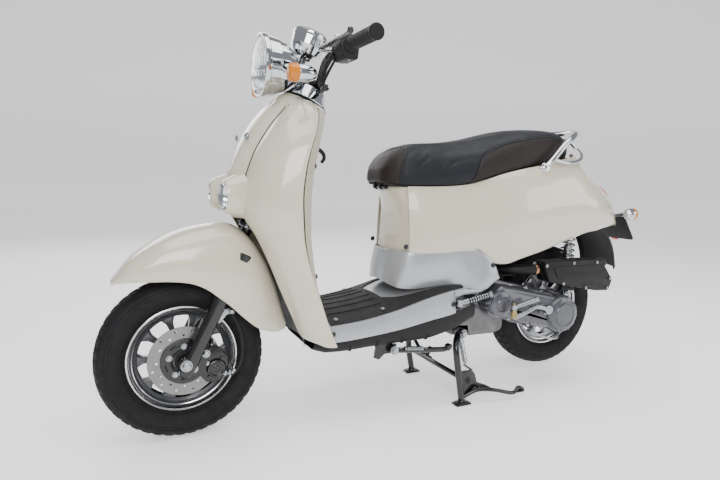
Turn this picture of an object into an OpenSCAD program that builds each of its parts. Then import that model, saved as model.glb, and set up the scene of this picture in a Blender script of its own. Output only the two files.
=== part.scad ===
// Step-through moped scooter with a telescopic fork, a swinging engine unit and a centre stand.
// Frame of the part: +X forward, +Y to the rider's left, +Z up, standing on Z = 0.
// Lengths along X below are measured forward from the rear axle.

/* [Wheels] */
// Outside radius of both tyres
tyre_r = 208; // [204:0.5:210]
// Width of both tyres
tyre_w = 90; // [84:1:92]
// Outside radius of the wheel rims
rim_r = 136.5; // [132:0.5:140]
// Distance between the two axles
wheelbase = 1215; // [1210:1:1225]
// Height of the rear tyre above the ground on the centre stand
rear_lift = 32.5; // [28:0.5:34]
// Number of spokes in each cast wheel
spoke_count = 10; // [6:1:10]
// Outside radius of the front brake disc
disc_r = 88; // [80:1:92]

/* [Steering] */
// Steering axis lean from vertical
rake = 26; // [25.5:0.1:26.5]
// Axle offset ahead of the steering axis
axle_offset = 12; // [10:1:14]
// Half the distance between the fork legs
fork_half = 72; // [71:1:75]
// Half the width over the handlebar ends
bar_half = 350; // [340:1:370]

/* [Body] */
// Distance from the rear axle to the middle of the overall length
axle_to_middle = 535; // [520:1:550]
// Thickness of the moulded body shells
shell = 3; // [2.5:0.5:3.5]
// Half width of the leg shield at its rear edge
shield_half = 190; // [184:1:196]
// Half width of the floor
floor_half = 158; // [154:1:160]

/* [Hidden] */
$fn = 48;

// Running clearance of a shaft in its hole
run = 0.05;
front_axle = [wheelbase, 0, tyre_r];
rear_axle = [0, 0, tyre_r + rear_lift];
steer_up = [-sin(rake), 0, cos(rake)];
steer_fore = [cos(rake), 0, sin(rake)];
steer_foot = front_axle - axle_offset * steer_fore;
function steer_at(s, n = 0, y = 0) = steer_foot + s * steer_up + n * steer_fore + [0, y, 0];

// Steering column and head tube, along the steering axis
head_low = 372;
head_high = 560;
stem_r = 14;
crown_s = 300;
clamp_s = 790;

// Straight grip section of the handlebar
bar_r = 11;
grip_r = 17;
grip_x = 847;
grip_z = 985;

// Engine unit pivot, stand pivot, kick shaft, saddle hinge and shock eye
swing_pivot = [430, 0, 300];
stand_pivot = [395, 0, 200];
kick_pivot = [155, 0, 278];
saddle_pivot = [652, 0, 646];
saddle_pin_r = 5;
shock_x = -35;
shock_y = 78;
shock_low = 300;
shock_high = 590;

// ---------- helpers ----------

module from_axle() translate([-axle_to_middle, 0, 0]) children();

module both_sides() {
    children();
    mirror([0, 1, 0]) children();
}

// Round bar of radius r from point p to point q
module bar(p, q, r) {
    d = q - p;
    translate(p)
        rotate([0, acos(d[2] / norm(d)), atan2(d[1], d[0])])
            rotate(37) cylinder(h = norm(d), r = r);
}

// Bent round bar through the points, with a slightly fuller knuckle at each bend
module bent_bar(points, r) {
    for (i = [0:len(points) - 2]) bar(points[i], points[i + 1], r);
    for (i = [1:len(points) - 2]) translate(points[i]) rotate([17, 29, 41]) sphere(r = r * 1.12);
}

// Cylinder along Y from y0 to y1 at x, z
module shaft(x, z, y0, y1, r) translate([x, y1, z]) rotate([90, 0, 0]) cylinder(h = y1 - y0, r = r);

// Outline in X and Z, extruded along Y from y0 to y1
module slab(outline, y0, y1) translate([0, y1, 0]) rotate([90, 0, 0]) linear_extrude(y1 - y0) polygon(outline);

// Solid of revolution about the Y axis through a point
module spun(centre) translate(centre) rotate([90, 0, 0]) rotate_extrude() children();

function unit(v) = v / norm(v);

function grid_normal(g, i, j) = let(
    di = g[min(i + 1, len(g) - 1)][j] - g[max(i - 1, 0)][j],
    dj = g[i][min(j + 1, len(g[0]) - 1)] - g[i][max(j - 1, 0)]
) unit(cross(di, dj));

// Curved sheet through a grid of points. Its face lies lift above the grid and it is t thick,
// measured on the side that the normal i x j points away from.
module sheet(g, t, lift = 0) {
    ni = len(g);
    nj = len(g[0]);
    n = ni * nj;
    face = [for (i = [0:ni - 1]) for (j = [0:nj - 1]) g[i][j] + lift * grid_normal(g, i, j)];
    back = [for (i = [0:ni - 1]) for (j = [0:nj - 1]) g[i][j] + (lift - t) * grid_normal(g, i, j)];
    rim = concat(
        [for (i = [0:ni - 2]) i * nj],
        [for (j = [0:nj - 2]) (ni - 1) * nj + j],
        [for (i = [ni - 1:-1:1]) i * nj + nj - 1],
        [for (j = [nj - 1:-1:1]) j]
    );
    quads = [for (i = [0:ni - 2]) for (j = [0:nj - 2]) [i * nj + j, (i + 1) * nj + j]];
    polyhedron(
        points = concat(face, back),
        faces = concat(
            [for (q = quads) [q[0], q[1] + 1, q[1]]],
            [for (q = quads) [q[0], q[0] + 1, q[1] + 1]],
            [for (q = quads) [q[0] + n, q[1] + n, q[1] + 1 + n]],
            [for (q = quads) [q[0] + n, q[1] + 1 + n, q[0] + 1 + n]],
            [for (k = [0:len(rim) - 1]) [rim[k], rim[(k + 1) % len(rim)], rim[k] + n]],
            [for (k = [0:len(rim) - 1]) [rim[(k + 1) % len(rim)], rim[(k + 1) % len(rim)] + n, rim[k] + n]]
        )
    );
}

// Closed body through rings of points, with flat ends
module loft(rings) {
    m = len(rings[0]);
    last = len(rings) - 1;
    polyhedron(
        points = [for (r = rings) for (p = r) p],
        faces = concat(
            [for (i = [0:last - 1]) for (j = [0:m - 1]) [i * m + j, (i + 1) * m + j, (i + 1) * m + (j + 1) % m]],
            [for (i = [0:last - 1]) for (j = [0:m - 1]) [i * m + j, (i + 1) * m + (j + 1) % m, i * m + (j + 1) % m]],
            [[for (j = [0:m - 1]) j]],
            [[for (j = [m - 1:-1:0]) last * m + j]]
        )
    );
}

function col(table, i) = [for (row = table) [row[0], row[i]]];
function at(table, i, x) = lookup(x, col(table, i));
// Curve through three values at v = 0, 0.5 and 1
function through3(a, b, c, v) = a * (1 - v) * (1 - 2 * v) + b * 4 * v * (1 - v) + c * v * (2 * v - 1);

// Tube of radius r swept along points, with flat ends
function turn(a, b) = unit(cross(a, b));
function along(points, i) = unit(points[min(i + 1, len(points) - 1)] - points[max(i - 1, 0)]);
module hose(points, r, sides = 8) {
    side_ref = [0.31, 0.87, 0.38];
    loft([for (i = [0:len(points) - 1])
        let(t = along(points, i), a = turn(t, side_ref), b = turn(t, a))
        [for (k = [0:sides - 1]) points[i] + r * (cos(360 * k / sides) * a + sin(360 * k / sides) * b)]]);
}

// ---------- frame ----------

rail_half = 95;
// The tubes are separate solids that stop a weld's width short of the rails
weld = 0.1;
rail_r = 12.5;
module main_frame() from_axle() color([0.07, 0.07, 0.08]) {
    difference() {
        bar(steer_at(head_low), steer_at(head_high), 27);
        bar(steer_at(head_low - 5), steer_at(head_high + 5), stem_r + run);
        bar(steer_at(head_low + 14), steer_at(head_high - 14), 21);
    }
    // The down tube is flattened where it passes the inner shield
    difference() {
        bent_bar([steer_at(468, -4), [918, 0, 440], [885, 0, 330], [868, 0, 288]], 19);
        bar(steer_at(head_low - 50), steer_at(head_high + 50), 27 + weld);
        translate([840, -25, 312]) cube([35.8, 50, 64]);
    }
    cross = rail_half - rail_r - weld;
    shaft(862, 266, -cross, cross, 15);
    shaft(640, 264, -cross, cross, 9);
    both_sides() {
        bent_bar([
            [872, rail_half, 256], [480, rail_half, 272], [452, rail_half, 345],
            [432, rail_half - 4, 520], [330, 90, 618], [-60, 78, 648], [-150, 56, 640]
        ], rail_r);
        bar([458, rail_half + 1, 326], [422, rail_half + 1, 296], 15.5);
        bar([466, rail_half + 3, 304], [470, 152, 304], 8);
        translate([470, 171, 300]) cylinder(h = 36, r = 5);
        bar([469, 150, 305.4], [470, 172, 305.4], 4);
    }
    shaft(swing_pivot[0], swing_pivot[2], -cross + 3, cross - 3, 10);
    shaft(-140, 641, -43.3, 43.3, 9);
    shaft(118, 634, -70.6, 70.6, 8);
    translate([shock_x, shock_y - 1, 614]) cylinder(h = 18, r = 9);
    slab([[shock_x - 9, 584], [shock_x + 9, 584], [shock_x + 9, 613.9], [shock_x - 9, 613.9]],
        shock_y + 9, shock_y + 15);
    shaft(shock_x, shock_high, shock_y - 12, shock_y + 8.9, 7);
    bar([690, rail_half + rail_r + weld, 250], [690, 123.9, 238], 8);
    slab([[676, 246], [712, 246], [722, 176], [706, 170], [690, 184], [652, 184], [652, 209], [676, 211]], 124, 130);
    shaft(side_pivot[0], side_pivot[2], 130.1, 148, 7);
    both_sides() bar([600, 60, 612], [446, 78, 556], 9);
    shaft(602, 612, -49, 49, 8);
    shaft(saddle_pivot[0], saddle_pivot[2], -34, 34, saddle_pin_r);
    both_sides() bent_bar([[603, 27, 620.4], [628, 27, 642], saddle_pivot + [-2, 27, -0.6]], 4);
}

// ---------- front bodywork ----------

// Front edge of the wings, where they meet the centre cowl: [z, x, y]
seam_line = [
    [236, 884, 150], [262, 934, 132], [315, 958, 120], [387, 988, 112], [463, 1018, 104], [525, 1046, 92],
    [572, 1076, 76], [601, 1079, 75], [652, 1069, 75], [718, 1048, 75], [787, 1009, 75], [854, 956, 75]
];
// Rear edge of the wings: [z, x, half width]
rear_line = [
    [236, 858, 174], [307, 889, 182], [360, 908, 186], [442, 938, 190], [531, 957, 190], [618, 961, 190],
    [689, 953, 188], [746, 936, 180], [790, 917, 164], [826, 905, 140], [850, 900, 112]
];
shield_levels = [240, 262, 290, 330, 380, 430, 480, 530, 572, 620, 670, 720, 765, 800, 828, 848];

// Wing surface at height z, from the front seam (v = 0) to the rear edge (v = 1)
function wing_point(z, v) = let(
    a = [at(seam_line, 1, z), at(seam_line, 2, z), z],
    c = [at(rear_line, 1, z), at(rear_line, 2, z) * shield_half / 190, z],
    swell = 0.17 * norm(c - a),
    b = (a + c) / 2 + swell * unit([c[1] - a[1], a[0] - c[0], 0])
) [for (k = [0:2]) through3(a[k], b[k], c[k], v)];

module leg_shield() from_axle() color([0.88, 0.86, 0.79])
    both_sides() sheet([for (z = shield_levels) [for (v = [5:-1:0]) wing_point(z, v / 5)]], shell);

// Front outline of the centre cowl: [z, x]
cowl_line = [
    [566, 1090], [578, 1099], [620, 1100], [667, 1097], [701, 1084], [732, 1074], [763, 1058], [795, 1040],
    [826, 1018], [850, 997], [866, 975]
];
cowl_levels = [568, 580, 620, 665, 700, 732, 763, 795, 826, 848, 862];
cowl_half = 73.5;
function cowl_point(z, u) = let(
    front = at(cowl_line, 1, z),
    side = at(seam_line, 1, min(z, 854)) - 2
) [side + (front - side) * (1 - pow(abs(u), 2.4)), u * cowl_half, z];

module centre_cowl() from_axle() color([0.88, 0.86, 0.79])
    sheet([for (z = cowl_levels) [for (u = [8:-1:-8]) cowl_point(z, u / 8)]], shell);

// Clear lamps that stand on the seam between the cowl and each wing: [z, x reach, half height]
module shield_lamps() from_axle() color([0.85, 0.86, 0.87]) both_sides()
    for (part = [[1094, 25, 46], [1126, 20, 40]])
        translate([part[0], 70, 622]) rotate([0, 90, 0]) linear_extrude(part[0] == 1094 ? 31 : 12)
            scale([part[2] / part[1], 1]) circle(r = part[1]);

// Face of the ignition lock on the rider's side
lock_x = 856;

// Rider's side of the leg shield: [z, x at the middle, x at the edge, half width]
inner_line = [
    [300, 868, 878, 176], [360, 872, 900, 178], [430, 878, 922, 182], [530, 884, 942, 183], [618, 882, 946, 183],
    [689, 874, 938, 180], [746, 862, 922, 172], [790, 852, 903, 156], [822, 842, 892, 134], [842, 836, 886, 108]
];
function inner_point(z, u) = let(mid = at(inner_line, 1, z), edge = at(inner_line, 2, z))
    [mid + (edge - mid) * pow(abs(u), 2.2), u * at(inner_line, 3, z), z];

module inner_shield() from_axle() color([0.86, 0.84, 0.77]) {
    sheet([for (z = [316, 360, 430, 490, 550, 618, 689, 746, 790, 822, 842])
        [for (u = [-6:6]) inner_point(z, u / 6)]], shell);
    bent_bar([[858, 0, 748], [838, 0, 744], [826, 0, 730], [830, 0, 716]], 4.5);
    translate([lock_x + 12, -62, 770]) rotate([0, -90, 0]) cylinder(h = 12, r = 13);
}

module stem_collar() from_axle() color([0.8, 0.81, 0.83])
    translate(steer_at(738, 4)) rotate([0, -rake, 0]) rotate_extrude()
        polygon([[57, 0], [58, 5], [51, 18], [45, 30], [43, 38], [40, 38], [42, 30], [48, 18], [54, 5], [54, 0]]);

// ---------- floor ----------

// Height of the floor at its side edge: [x, z]
floor_line = [[430, 360], [448, 358], [504, 350], [571, 336], [678, 309], [786, 292], [872, 286]];
floor_rows = [464.5, 490, 520, 571, 625, 678, 735, 786, 825, 852];
crown = 22;
function floor_point(x, u, rise = 0) =
    [x, u * floor_half, lookup(x, floor_line) + crown * (1 - u * u) + rise];

// Side strip under the floor edge: [x, z of its lower edge]
strip_line = [[430, 312], [480, 290], [560, 277], [660, 261], [752, 252], [839, 247], [872, 247]];

module floor_board() from_axle() color([0.62, 0.63, 0.66]) {
    sheet([for (x = floor_rows) [for (u = [-5:5]) floor_point(x, u / 5)]], shell);
    both_sides() sheet([for (x = [484, 520, 571, 625, 678, 735, 786, 830, 866])
        [for (v = [2:-1:0]) [x, floor_half + 4 + 4 * v - 2 * v * v,
            lerp(lookup(x, floor_line) - 1, lookup(x, strip_line), v / 2)]]], shell);
}
function lerp(a, b, t) = a + (b - a) * t;

// The mat lies on the floor from the leg shield back to the riser, with a tongue on each side of it
mat_lift = 3.5;
module floor_mat() from_axle() color([0.2, 0.18, 0.16]) {
    sheet([for (x = [672, 705, 740, 786, 825, 850]) [for (u = [-5:5]) floor_point(x, u / 5 * 0.97)]],
        3, mat_lift);
    both_sides() sheet([for (x = [466, 500, 550, 600, 640, 672])
        [for (u = [0:2]) floor_point(x, lerp(at(riser_line, 1, x) / floor_half, 0.97, u / 2))]], 3, mat_lift);
}
// Inner edge of each tongue: [x, y]
riser_line = [[430, 138], [452, 136], [500, 122], [550, 115], [600, 108], [640, 92], [672, 66]];

// Black covers underneath: the belly with its sides, and the liner behind the front wheel
belly_line = [
    [396, 262, 306], [470, 232, 290], [560, 214, 274], [722, 212, 250], [815, 209, 244], [887, 213, 238],
    [929, 223, 236], [952, 246, 262]
];
function belly_ring(x) = let(low = at(belly_line, 1, x), high = at(belly_line, 2, x), w = x > 880 ? 112 : 148) [
    [x, -w, high], [x, -w, low + 14], [x, -w + 16, low], [x, 0, low],
    [x, w - 16, low], [x, w, low + 14], [x, w, high]
];
liner_line = [[262, 899, 108], [300, 905, 108], [360, 918, 104], [430, 940, 98], [500, 968, 88], [556, 996, 76]];

module under_panels() from_axle() color([0.06, 0.06, 0.07]) {
    // Slot for the side stand bracket
    difference() {
        sheet([for (x = [500, 560, 640, 722, 815, 880]) belly_ring(x)], shell);
        translate([655, 123, 200]) cube([68, 8, 24]);
    }
    both_sides() sheet([for (x = [396, 440, 470, 499]) [for (k = [4:6]) belly_ring(x)[k] + [0, k == 4 ? 4 : 0, 0]]],
        shell);
    sheet([for (z = [262, 300, 360, 430, 500, 556])
        [for (u = [4:-1:-4]) [at(liner_line, 1, z) + 22 * pow(u / 4, 2), u / 4 * at(liner_line, 2, z), z]]], shell);
}

// ---------- rear bodywork ----------

// Side panel at station x: [x, z top, y top, z middle, y middle, z bottom, y bottom]
side_line = [
    [-278, 552, 1, 536, 34, 518, 62], [-262, 590, 1, 566, 50, 523, 78], [-240, 632, 1, 592, 70, 526, 92],
    [-207, 663, 1, 606, 94, 524, 104], [-153, 705, 1, 618, 122, 519, 118], [-111, 739, 1, 628, 138, 512, 127],
    [-75, 762, 20, 630, 148, 509, 132], [-45, 766, 64, 628, 155, 505, 136], [-10, 752, 96, 624, 161, 497, 140],
    [60, 740, 118, 612, 168, 481, 146], [140, 722, 128, 600, 172, 458, 150], [220, 708, 128, 588, 172, 440, 152],
    [300, 690, 124, 580, 164, 424, 154], [345, 676, 120, 574, 156, 430, 152], [400, 660, 114, 568, 142, 473, 142],
    [480, 652, 106, 562, 126, 463, 130], [560, 650, 96, 562, 112, 461, 117], [604, 650, 84, 562, 97, 465, 104]
];
function side_point(x, v) = [
    x,
    through3(at(side_line, 2, x), at(side_line, 4, x), at(side_line, 6, x), v),
    through3(at(side_line, 1, x), at(side_line, 3, x), at(side_line, 5, x), v)
];

module side_panels() from_axle() color([0.88, 0.86, 0.79])
    both_sides() sheet([for (row = side_line) [for (v = [6:-1:0]) side_point(row[0], v / 6)]], shell);

// Panel under the front of the seat: [z, x at the nose, half width]
nose_line = [[467, 622, 97], [510, 614, 92], [566, 616, 86], [610, 628, 82], [636, 643, 79.5]];
module under_seat_panel() from_axle() color([0.88, 0.86, 0.79])
    sheet([for (z = [467, 510, 566, 610, 636]) [for (u = [5:-1:-5])
        [at(nose_line, 1, z) - (at(nose_line, 1, z) - 606) * pow(abs(u / 5), 3) , u / 5 * at(nose_line, 2, z), z]]],
        shell);

// Silver cover round the foot of the seat body: [u, x, y low, z low, x high, y high, z high]
cover_line = [
    [0, 650, 0, 374, 636, 0, 463], [1, 651, 34, 372, 634, 38, 464], [2, 645, 66, 366, 626, 70, 465],
    [3, 628, 92, 360, 606, 103, 463], [4, 590, 106, 357, 566, 116, 459], [5, 530, 113, 361, 500, 127, 460],
    [6, 480, 121, 365, 440, 137, 463], [7, 440, 140, 364, 396, 147, 465], [8, 404, 160, 345, 362, 157, 443],
    [9, 372, 163, 352, 338, 160, 418], [10, 330, 160, 377, 324, 160, 388]
];
module lower_cover() from_axle() color([0.62, 0.63, 0.66])
    sheet([for (v = [0:4]) [for (k = [10:-1:-10])
        let(c = cover_line[abs(k)], s = k < 0 ? -1 : 1, w = v / 4)
        [lerp(c[1], c[4], w), s * lerp(c[2], c[5], w), lerp(c[3], c[6], w)] + 5 * sin(180 * w) * [0, s * min(abs(k), 1), 0]
    ]], shell);

module rear_lamps() from_axle() {
    color([0.7, 0.05, 0.04]) sheet([for (x = [-262, -250, -236, -222, -207])
        [for (j = [5:-1:-5]) let(p = side_point(x, abs(j) * 0.07)) [p[0], j < 0 ? -p[1] : p[1], p[2]]]], 13, 14);
    color([0.9, 0.45, 0.05]) both_sides() {
        bar([-252, 88, 557], [-262, 106, 562], 6);
        bar([-292, 122, 562], [-250, 122, 562], 19);
    }
}

// Rear inner fender with the sloping licence plate holder
guard_line = [[-160, 540], [-214, 514], [-252, 476], [-276, 430], [-290, 372]];
module rear_mudguard() from_axle() color([0.06, 0.06, 0.07]) {
    sheet([for (p = guard_line) [for (u = [-3:3]) [p[0] + 8 * abs(u) / 3, u * 24, p[1] - 4 * abs(u) / 3]]], 4);
    translate([-296, 0, 549]) rotate([0, 33.5 + 90, 0]) difference() {
        translate([0, -85, -3]) cube([102, 170, 4]);
        for (y = [-60, 60]) translate([18, y, -4]) cylinder(h = 8, r = 3.25);
    }
    both_sides() bar([-306, 30, 528], [-240, 30, 492], 7);
}

rail_bar_r = 8;
module grab_rail() from_axle() color([0.8, 0.81, 0.83]) {
    both_sides() bent_bar([
        [156, 146, 714], [130, 148, 738], [80, 146, 786], [20, 126, 816], [-24, 84, 828], [-44, 30, 830],
        [-46, 0, 830]
    ], rail_bar_r);
    both_sides() bent_bar([[130, 148, 738], [40, 140, 736], [-40, 112, 752], [-70, 62, 780], [-46, 0, 830]], 6);
}

box_half = 70;
module storage_box() from_axle() color([0.08, 0.08, 0.08]) difference() {
    translate([132, -box_half, 486]) cube([290, 2 * box_half, 150]);
    translate([136, -box_half + 4, 490]) cube([282, 2 * box_half - 8, 160]);
}

// Fuel tank, narrower at its rear where the frame rails close in; inset leaves the wall
tank_wall = 2;
tank_low = 570;
neck_x = -20;
neck_r = 24;
tank_high = 678;
module tank_space(inset) translate([0, 0, tank_low + inset]) linear_extrude(tank_high - tank_low - 2 * inset)
    polygon([
        [-128 + inset, -40 + inset], [-72 + inset, -40 + inset], [-62 + inset, -60 + inset],
        [106 - inset, -60 + inset], [106 - inset, 60 - inset], [-62 + inset, 60 - inset],
        [-72 + inset, 40 - inset], [-128 + inset, 40 - inset]
    ]);
module fuel_tank() from_axle() color([0.1, 0.1, 0.11]) difference() {
    union() {
        tank_space(0);
        translate([neck_x, 0, tank_high - 8]) cylinder(h = 48, r = neck_r);
    }
    tank_space(tank_wall);
    translate([neck_x, 0, tank_high - 9]) cylinder(h = 50, r = neck_r - tank_wall);
}

module fuel_cap() from_axle() color([0.12, 0.12, 0.13]) translate([neck_x, 0, 718]) {
    cylinder(h = 14, r = 29);
    translate([-24, -4, 14]) cube([48, 8, 6]);
}

module battery() from_axle() color([0.12, 0.12, 0.14]) {
    translate([664, -56, 232]) cube([108, 112, 62]);
    for (y = [-36, 36]) translate([760, y, 294]) cylinder(h = 8, r = 6);
}

// Visible panel screws: [x, y, z] of each head and the way it faces
module panel_screws() from_axle() color([0.2, 0.2, 0.21]) both_sides() {
    for (s = [[616, 105, 476], [352, 163, 420], [486, 167, 330]])
        shaft(s[0], s[2], s[1], s[1] + 5, 5);
    translate([1052, 52, 772]) rotate([0, 90 - 30, 0]) cylinder(h = 5, r = 5);
}

// ---------- seat ----------

// Seat outline: [x, z bottom, z top, half width]
seat_line = [
    [-27, 756, 776, 40], [-12, 752, 806, 72], [20, 748, 830, 98], [59, 742, 839, 114], [133, 728, 836, 130],
    [216, 712, 825, 138], [300, 694, 806, 140], [352, 680, 794, 138], [409, 664, 784, 134], [475, 656, 776, 126],
    [545, 654, 771, 118], [600, 654, 765, 108], [634, 655, 748, 94], [656, 658, 726, 76], [672, 664, 702, 50]
];
function seat_ring(row) = let(x = row[0], zb = row[1], zt = row[2], w = row[3], h = zt - zb) [
    [x, -w * 0.94, zb], [x, -w, zb + h * 0.3], [x, -w * 0.97, zb + h * 0.55], [x, -w * 0.84, zb + h * 0.8],
    [x, -w * 0.6, zb + h * 0.94], [x, -w * 0.3, zt - h * 0.01], [x, 0, zt], [x, w * 0.3, zt - h * 0.01],
    [x, w * 0.6, zb + h * 0.94], [x, w * 0.84, zb + h * 0.8], [x, w * 0.97, zb + h * 0.55],
    [x, w, zb + h * 0.3], [x, w * 0.94, zb]
];
module seat_cushion() from_axle() color([0.13, 0.12, 0.15])
    loft([for (i = [len(seat_line) - 1:-1:0]) seat_ring(seat_line[i])]);

module seat_pan() from_axle() color([0.05, 0.05, 0.05]) {
    loft([for (i = [len(seat_line) - 2:-1:1])
        let(r = seat_line[i], w = r[0] < 250 ? r[3] * 0.78 : min(r[3] * 0.8, at(side_line, 2, r[0]) - 7))
        [[r[0], -w, r[1] - 5.4], [r[0], -w, r[1] - 0.5], [r[0], w, r[1] - 0.5], [r[0], w, r[1] - 5.4]]]);
    difference() {
        union() for (y = [-20, 14]) slab([[638, 653], [662, 656], [661, 642], [652, 637.5], [643.5, 642]], y, y + 6);
        shaft(saddle_pivot[0], saddle_pivot[2], -40, 40, saddle_pin_r + run);
    }
}

// ---------- steering ----------

module steering_stem() from_axle() color([0.09, 0.09, 0.1]) {
    bar(steer_at(head_low - 5), steer_at(head_low - 0.3), 24);
    bar(steer_at(head_high + 0.3), steer_at(head_high + 12), 22);
    bar(steer_at(crown_s, 0, -fork_half), steer_at(crown_s, 0, fork_half), 17);
    for (s = [-1, 1]) {
        bar(steer_at(crown_s - 17, 0, s * fork_half), steer_at(crown_s + 2, 0, s * fork_half), 14);
        bar(steer_at(95, 0, s * fork_half), steer_at(crown_s + 6, 0, s * fork_half), 13);
    }
    // Stem with the clamp that holds the bar
    difference() {
        union() {
            bar(steer_at(crown_s - 20), steer_at(clamp_s), stem_r);
            bar(steer_at(clamp_s - 22), steer_at(clamp_s + 14), 20);
            both_sides() bar(steer_at(clamp_s - 8, 4, 18), [914, 30, 948], 6);
        }
        bar(steer_at(clamp_s, 0, -30), steer_at(clamp_s, 0, 30), bar_r);
        bucket_space();
    }
}

module handlebar() from_axle() color([0.07, 0.07, 0.08]) {
    both_sides() bent_bar([
        steer_at(clamp_s, 0, 0), steer_at(clamp_s, 0, 34), [860, 88, 962], [grip_x, 118, grip_z],
        [grip_x, bar_half - 8, grip_z]
    ], bar_r);
}

// Room the headlight bucket takes up, for the parts that end on its back
module bucket_space() translate([907, 0, 955]) rotate([0, 90, 0]) rotate_extrude()
    polygon([[0, -0.4], [26.2, 1.6], [46.4, 15.8], [62.4, 37.8], [71.4, 62], [76.4, 90], [76.4, 100], [0, 100]]);

module headlight_bucket() from_axle() color([0.8, 0.81, 0.83])
    translate([907, 0, 955]) rotate([0, 90, 0]) rotate_extrude()
        polygon([[0, 0], [26, 2], [46, 16], [62, 38], [71, 62], [76, 90], [79, 96], [79, 102], [74, 102],
            [73, 92], [67, 62], [58, 40], [43, 20], [24, 7], [0, 5]]);

module headlight_lens() from_axle() color([0.8, 0.84, 0.87])
    translate([1003.5, 0, 955]) rotate([0, 90, 0]) rotate_extrude()
        polygon([[0, 12], [0, 15.5], [34, 13.5], [58, 9], [72.6, 2.5], [72.6, -3], [69.6, -3], [56, 5.5], [34, 10]]);

pod_tilt = 20;
module instrument_pod() from_axle() color([0.8, 0.81, 0.83]) difference() {
    translate([876, 0, 1026]) rotate([0, -pod_tilt, 0]) {
        rotate_extrude() polygon([[0, -46], [20, -44], [34, -34], [43, -16], [46, 8], [48, 12], [48, 20], [44, 20],
            [44, 12], [0, 12]]);
        translate([0, 0, 12.2]) cylinder(h = 4, r = 43.5);
        bar([0, 0, -44], [-6, 0, -96], 9);
    }
    bucket_space();
}

signal_y = 165;
module front_signals() from_axle() both_sides() {
    color([0.8, 0.81, 0.83]) {
        difference() {
            bar([919, 44, 935], [936, signal_y - 8, 916], 6);
            bucket_space();
        }
        translate([914, signal_y, 916]) rotate([0, 90, 0]) rotate_extrude()
            polygon([[0, 0], [9, 2], [17, 12], [20, 26], [20, 48], [0, 48]]);
    }
    color([0.95, 0.5, 0.08]) translate([962.3, signal_y, 916]) rotate([0, 90, 0]) rotate_extrude()
        polygon([[0, 0], [21, 0], [21, 18], [17, 22], [0, 23]]);
}

block_in = 152;
block_out = 212;
// Switch housing on the bar, with a blind hole in its rear face for the button
module bar_housing(button_y) difference() {
    union() {
        shaft(grip_x, grip_z, block_in, block_out, 25);
        translate([grip_x - 20, block_in, grip_z - 32]) cube([42, block_out - block_in, 34]);
    }
    shaft(grip_x, grip_z, block_in - 1, block_out + 1, bar_r);
    translate([grip_x - 27, button_y, grip_z - 18]) rotate([0, 90, 0]) cylinder(h = 14, r = 5.5 + run);
}
button_y = 196;
module bar_button() translate([grip_x - 24, button_y, grip_z - 18]) rotate([0, 90, 0]) cylinder(h = 7.5, r = 5.5);

module switch_block() from_axle() color([0.08, 0.08, 0.09]) bar_housing(button_y);
module throttle_housing() from_axle() color([0.08, 0.08, 0.09]) mirror([0, 1, 0]) bar_housing(button_y);
module horn_button() from_axle() color([0.75, 0.06, 0.08]) bar_button();
module starter_button() from_axle() color([0.75, 0.6, 0.08]) mirror([0, 1, 0]) bar_button();

module grip_shape(bore_r) spun([grip_x, 0, grip_z]) polygon([
    [bore_r, -216], [grip_r + 3, -216], [grip_r + 3, -222], [grip_r, -225], [grip_r, -bar_half + 10],
    [grip_r - 3, -bar_half + 1], [10, -bar_half], [0, -bar_half], [0, -bar_half + 7], [bore_r, -bar_half + 7]
]);
module left_grip() from_axle() color([0.09, 0.09, 0.1]) grip_shape(bar_r);
module throttle_grip() from_axle() color([0.09, 0.09, 0.1]) mirror([0, 1, 0]) grip_shape(bar_r + run);

// Clamps on the bar, each with a lever fork and a threaded boss for a mirror
perch_y = 140;
lever_x = 892;
module lever_perches() from_axle() color([0.8, 0.81, 0.83]) both_sides() difference() {
    union() {
        shaft(grip_x, grip_z, perch_y - 8, perch_y + 8, 17);
        for (z = [grip_z - 8, grip_z + 5]) {
            translate([lever_x, perch_y, z]) cylinder(h = 4, r = 9);
            translate([grip_x + 10, perch_y - 6, z]) cube([lever_x - grip_x - 10, 12, 4]);
        }
        translate([lever_x, perch_y, grip_z - 8]) cylinder(h = 17, r = 3);
        translate([grip_x + 10, perch_y - 6, grip_z - 8]) cube([12, 12, 17]);
        translate([grip_x + 4, perch_y, grip_z + 8]) cylinder(h = 26, r = 9);
        translate([grip_x + 4, perch_y, grip_z + 26]) sphere(r = 11.5);
    }
    shaft(grip_x, grip_z, perch_y - 9, perch_y + 9, bar_r);
    translate([grip_x + 4, perch_y, grip_z + 20]) cylinder(h = 30, r = 4);
}

// Lever blade in plan, from its pivot out along the grip
blade = [
    [-9, 0], [-7, 8], [-5, 46], [-1, 84], [-2, 150], [2, 186], [7, 190], [13, 186], [9, 150], [9, 84], [7, 46],
    [9, 8], [9, 0], [4, -8], [-4, -8]
];
module lever_shape() translate([lever_x, perch_y, grip_z]) difference() {
    translate([0, 0, -3.7]) linear_extrude(8.4) polygon(blade);
    translate([0, 0, -5]) cylinder(h = 12, r = 3 + run);
}
module brake_lever_left() from_axle() color([0.12, 0.12, 0.13]) lever_shape();
module brake_lever_right() from_axle() color([0.12, 0.12, 0.13]) mirror([0, 1, 0]) lever_shape();

module ignition_key() from_axle() color([0.75, 0.75, 0.77]) translate([lock_x - 0.4, -62, 770]) rotate([0, -90, 0]) {
    cylinder(h = 7, r = 9);
    translate([-11, -1.5, 7]) cube([22, 3, 24]);
}

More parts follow.
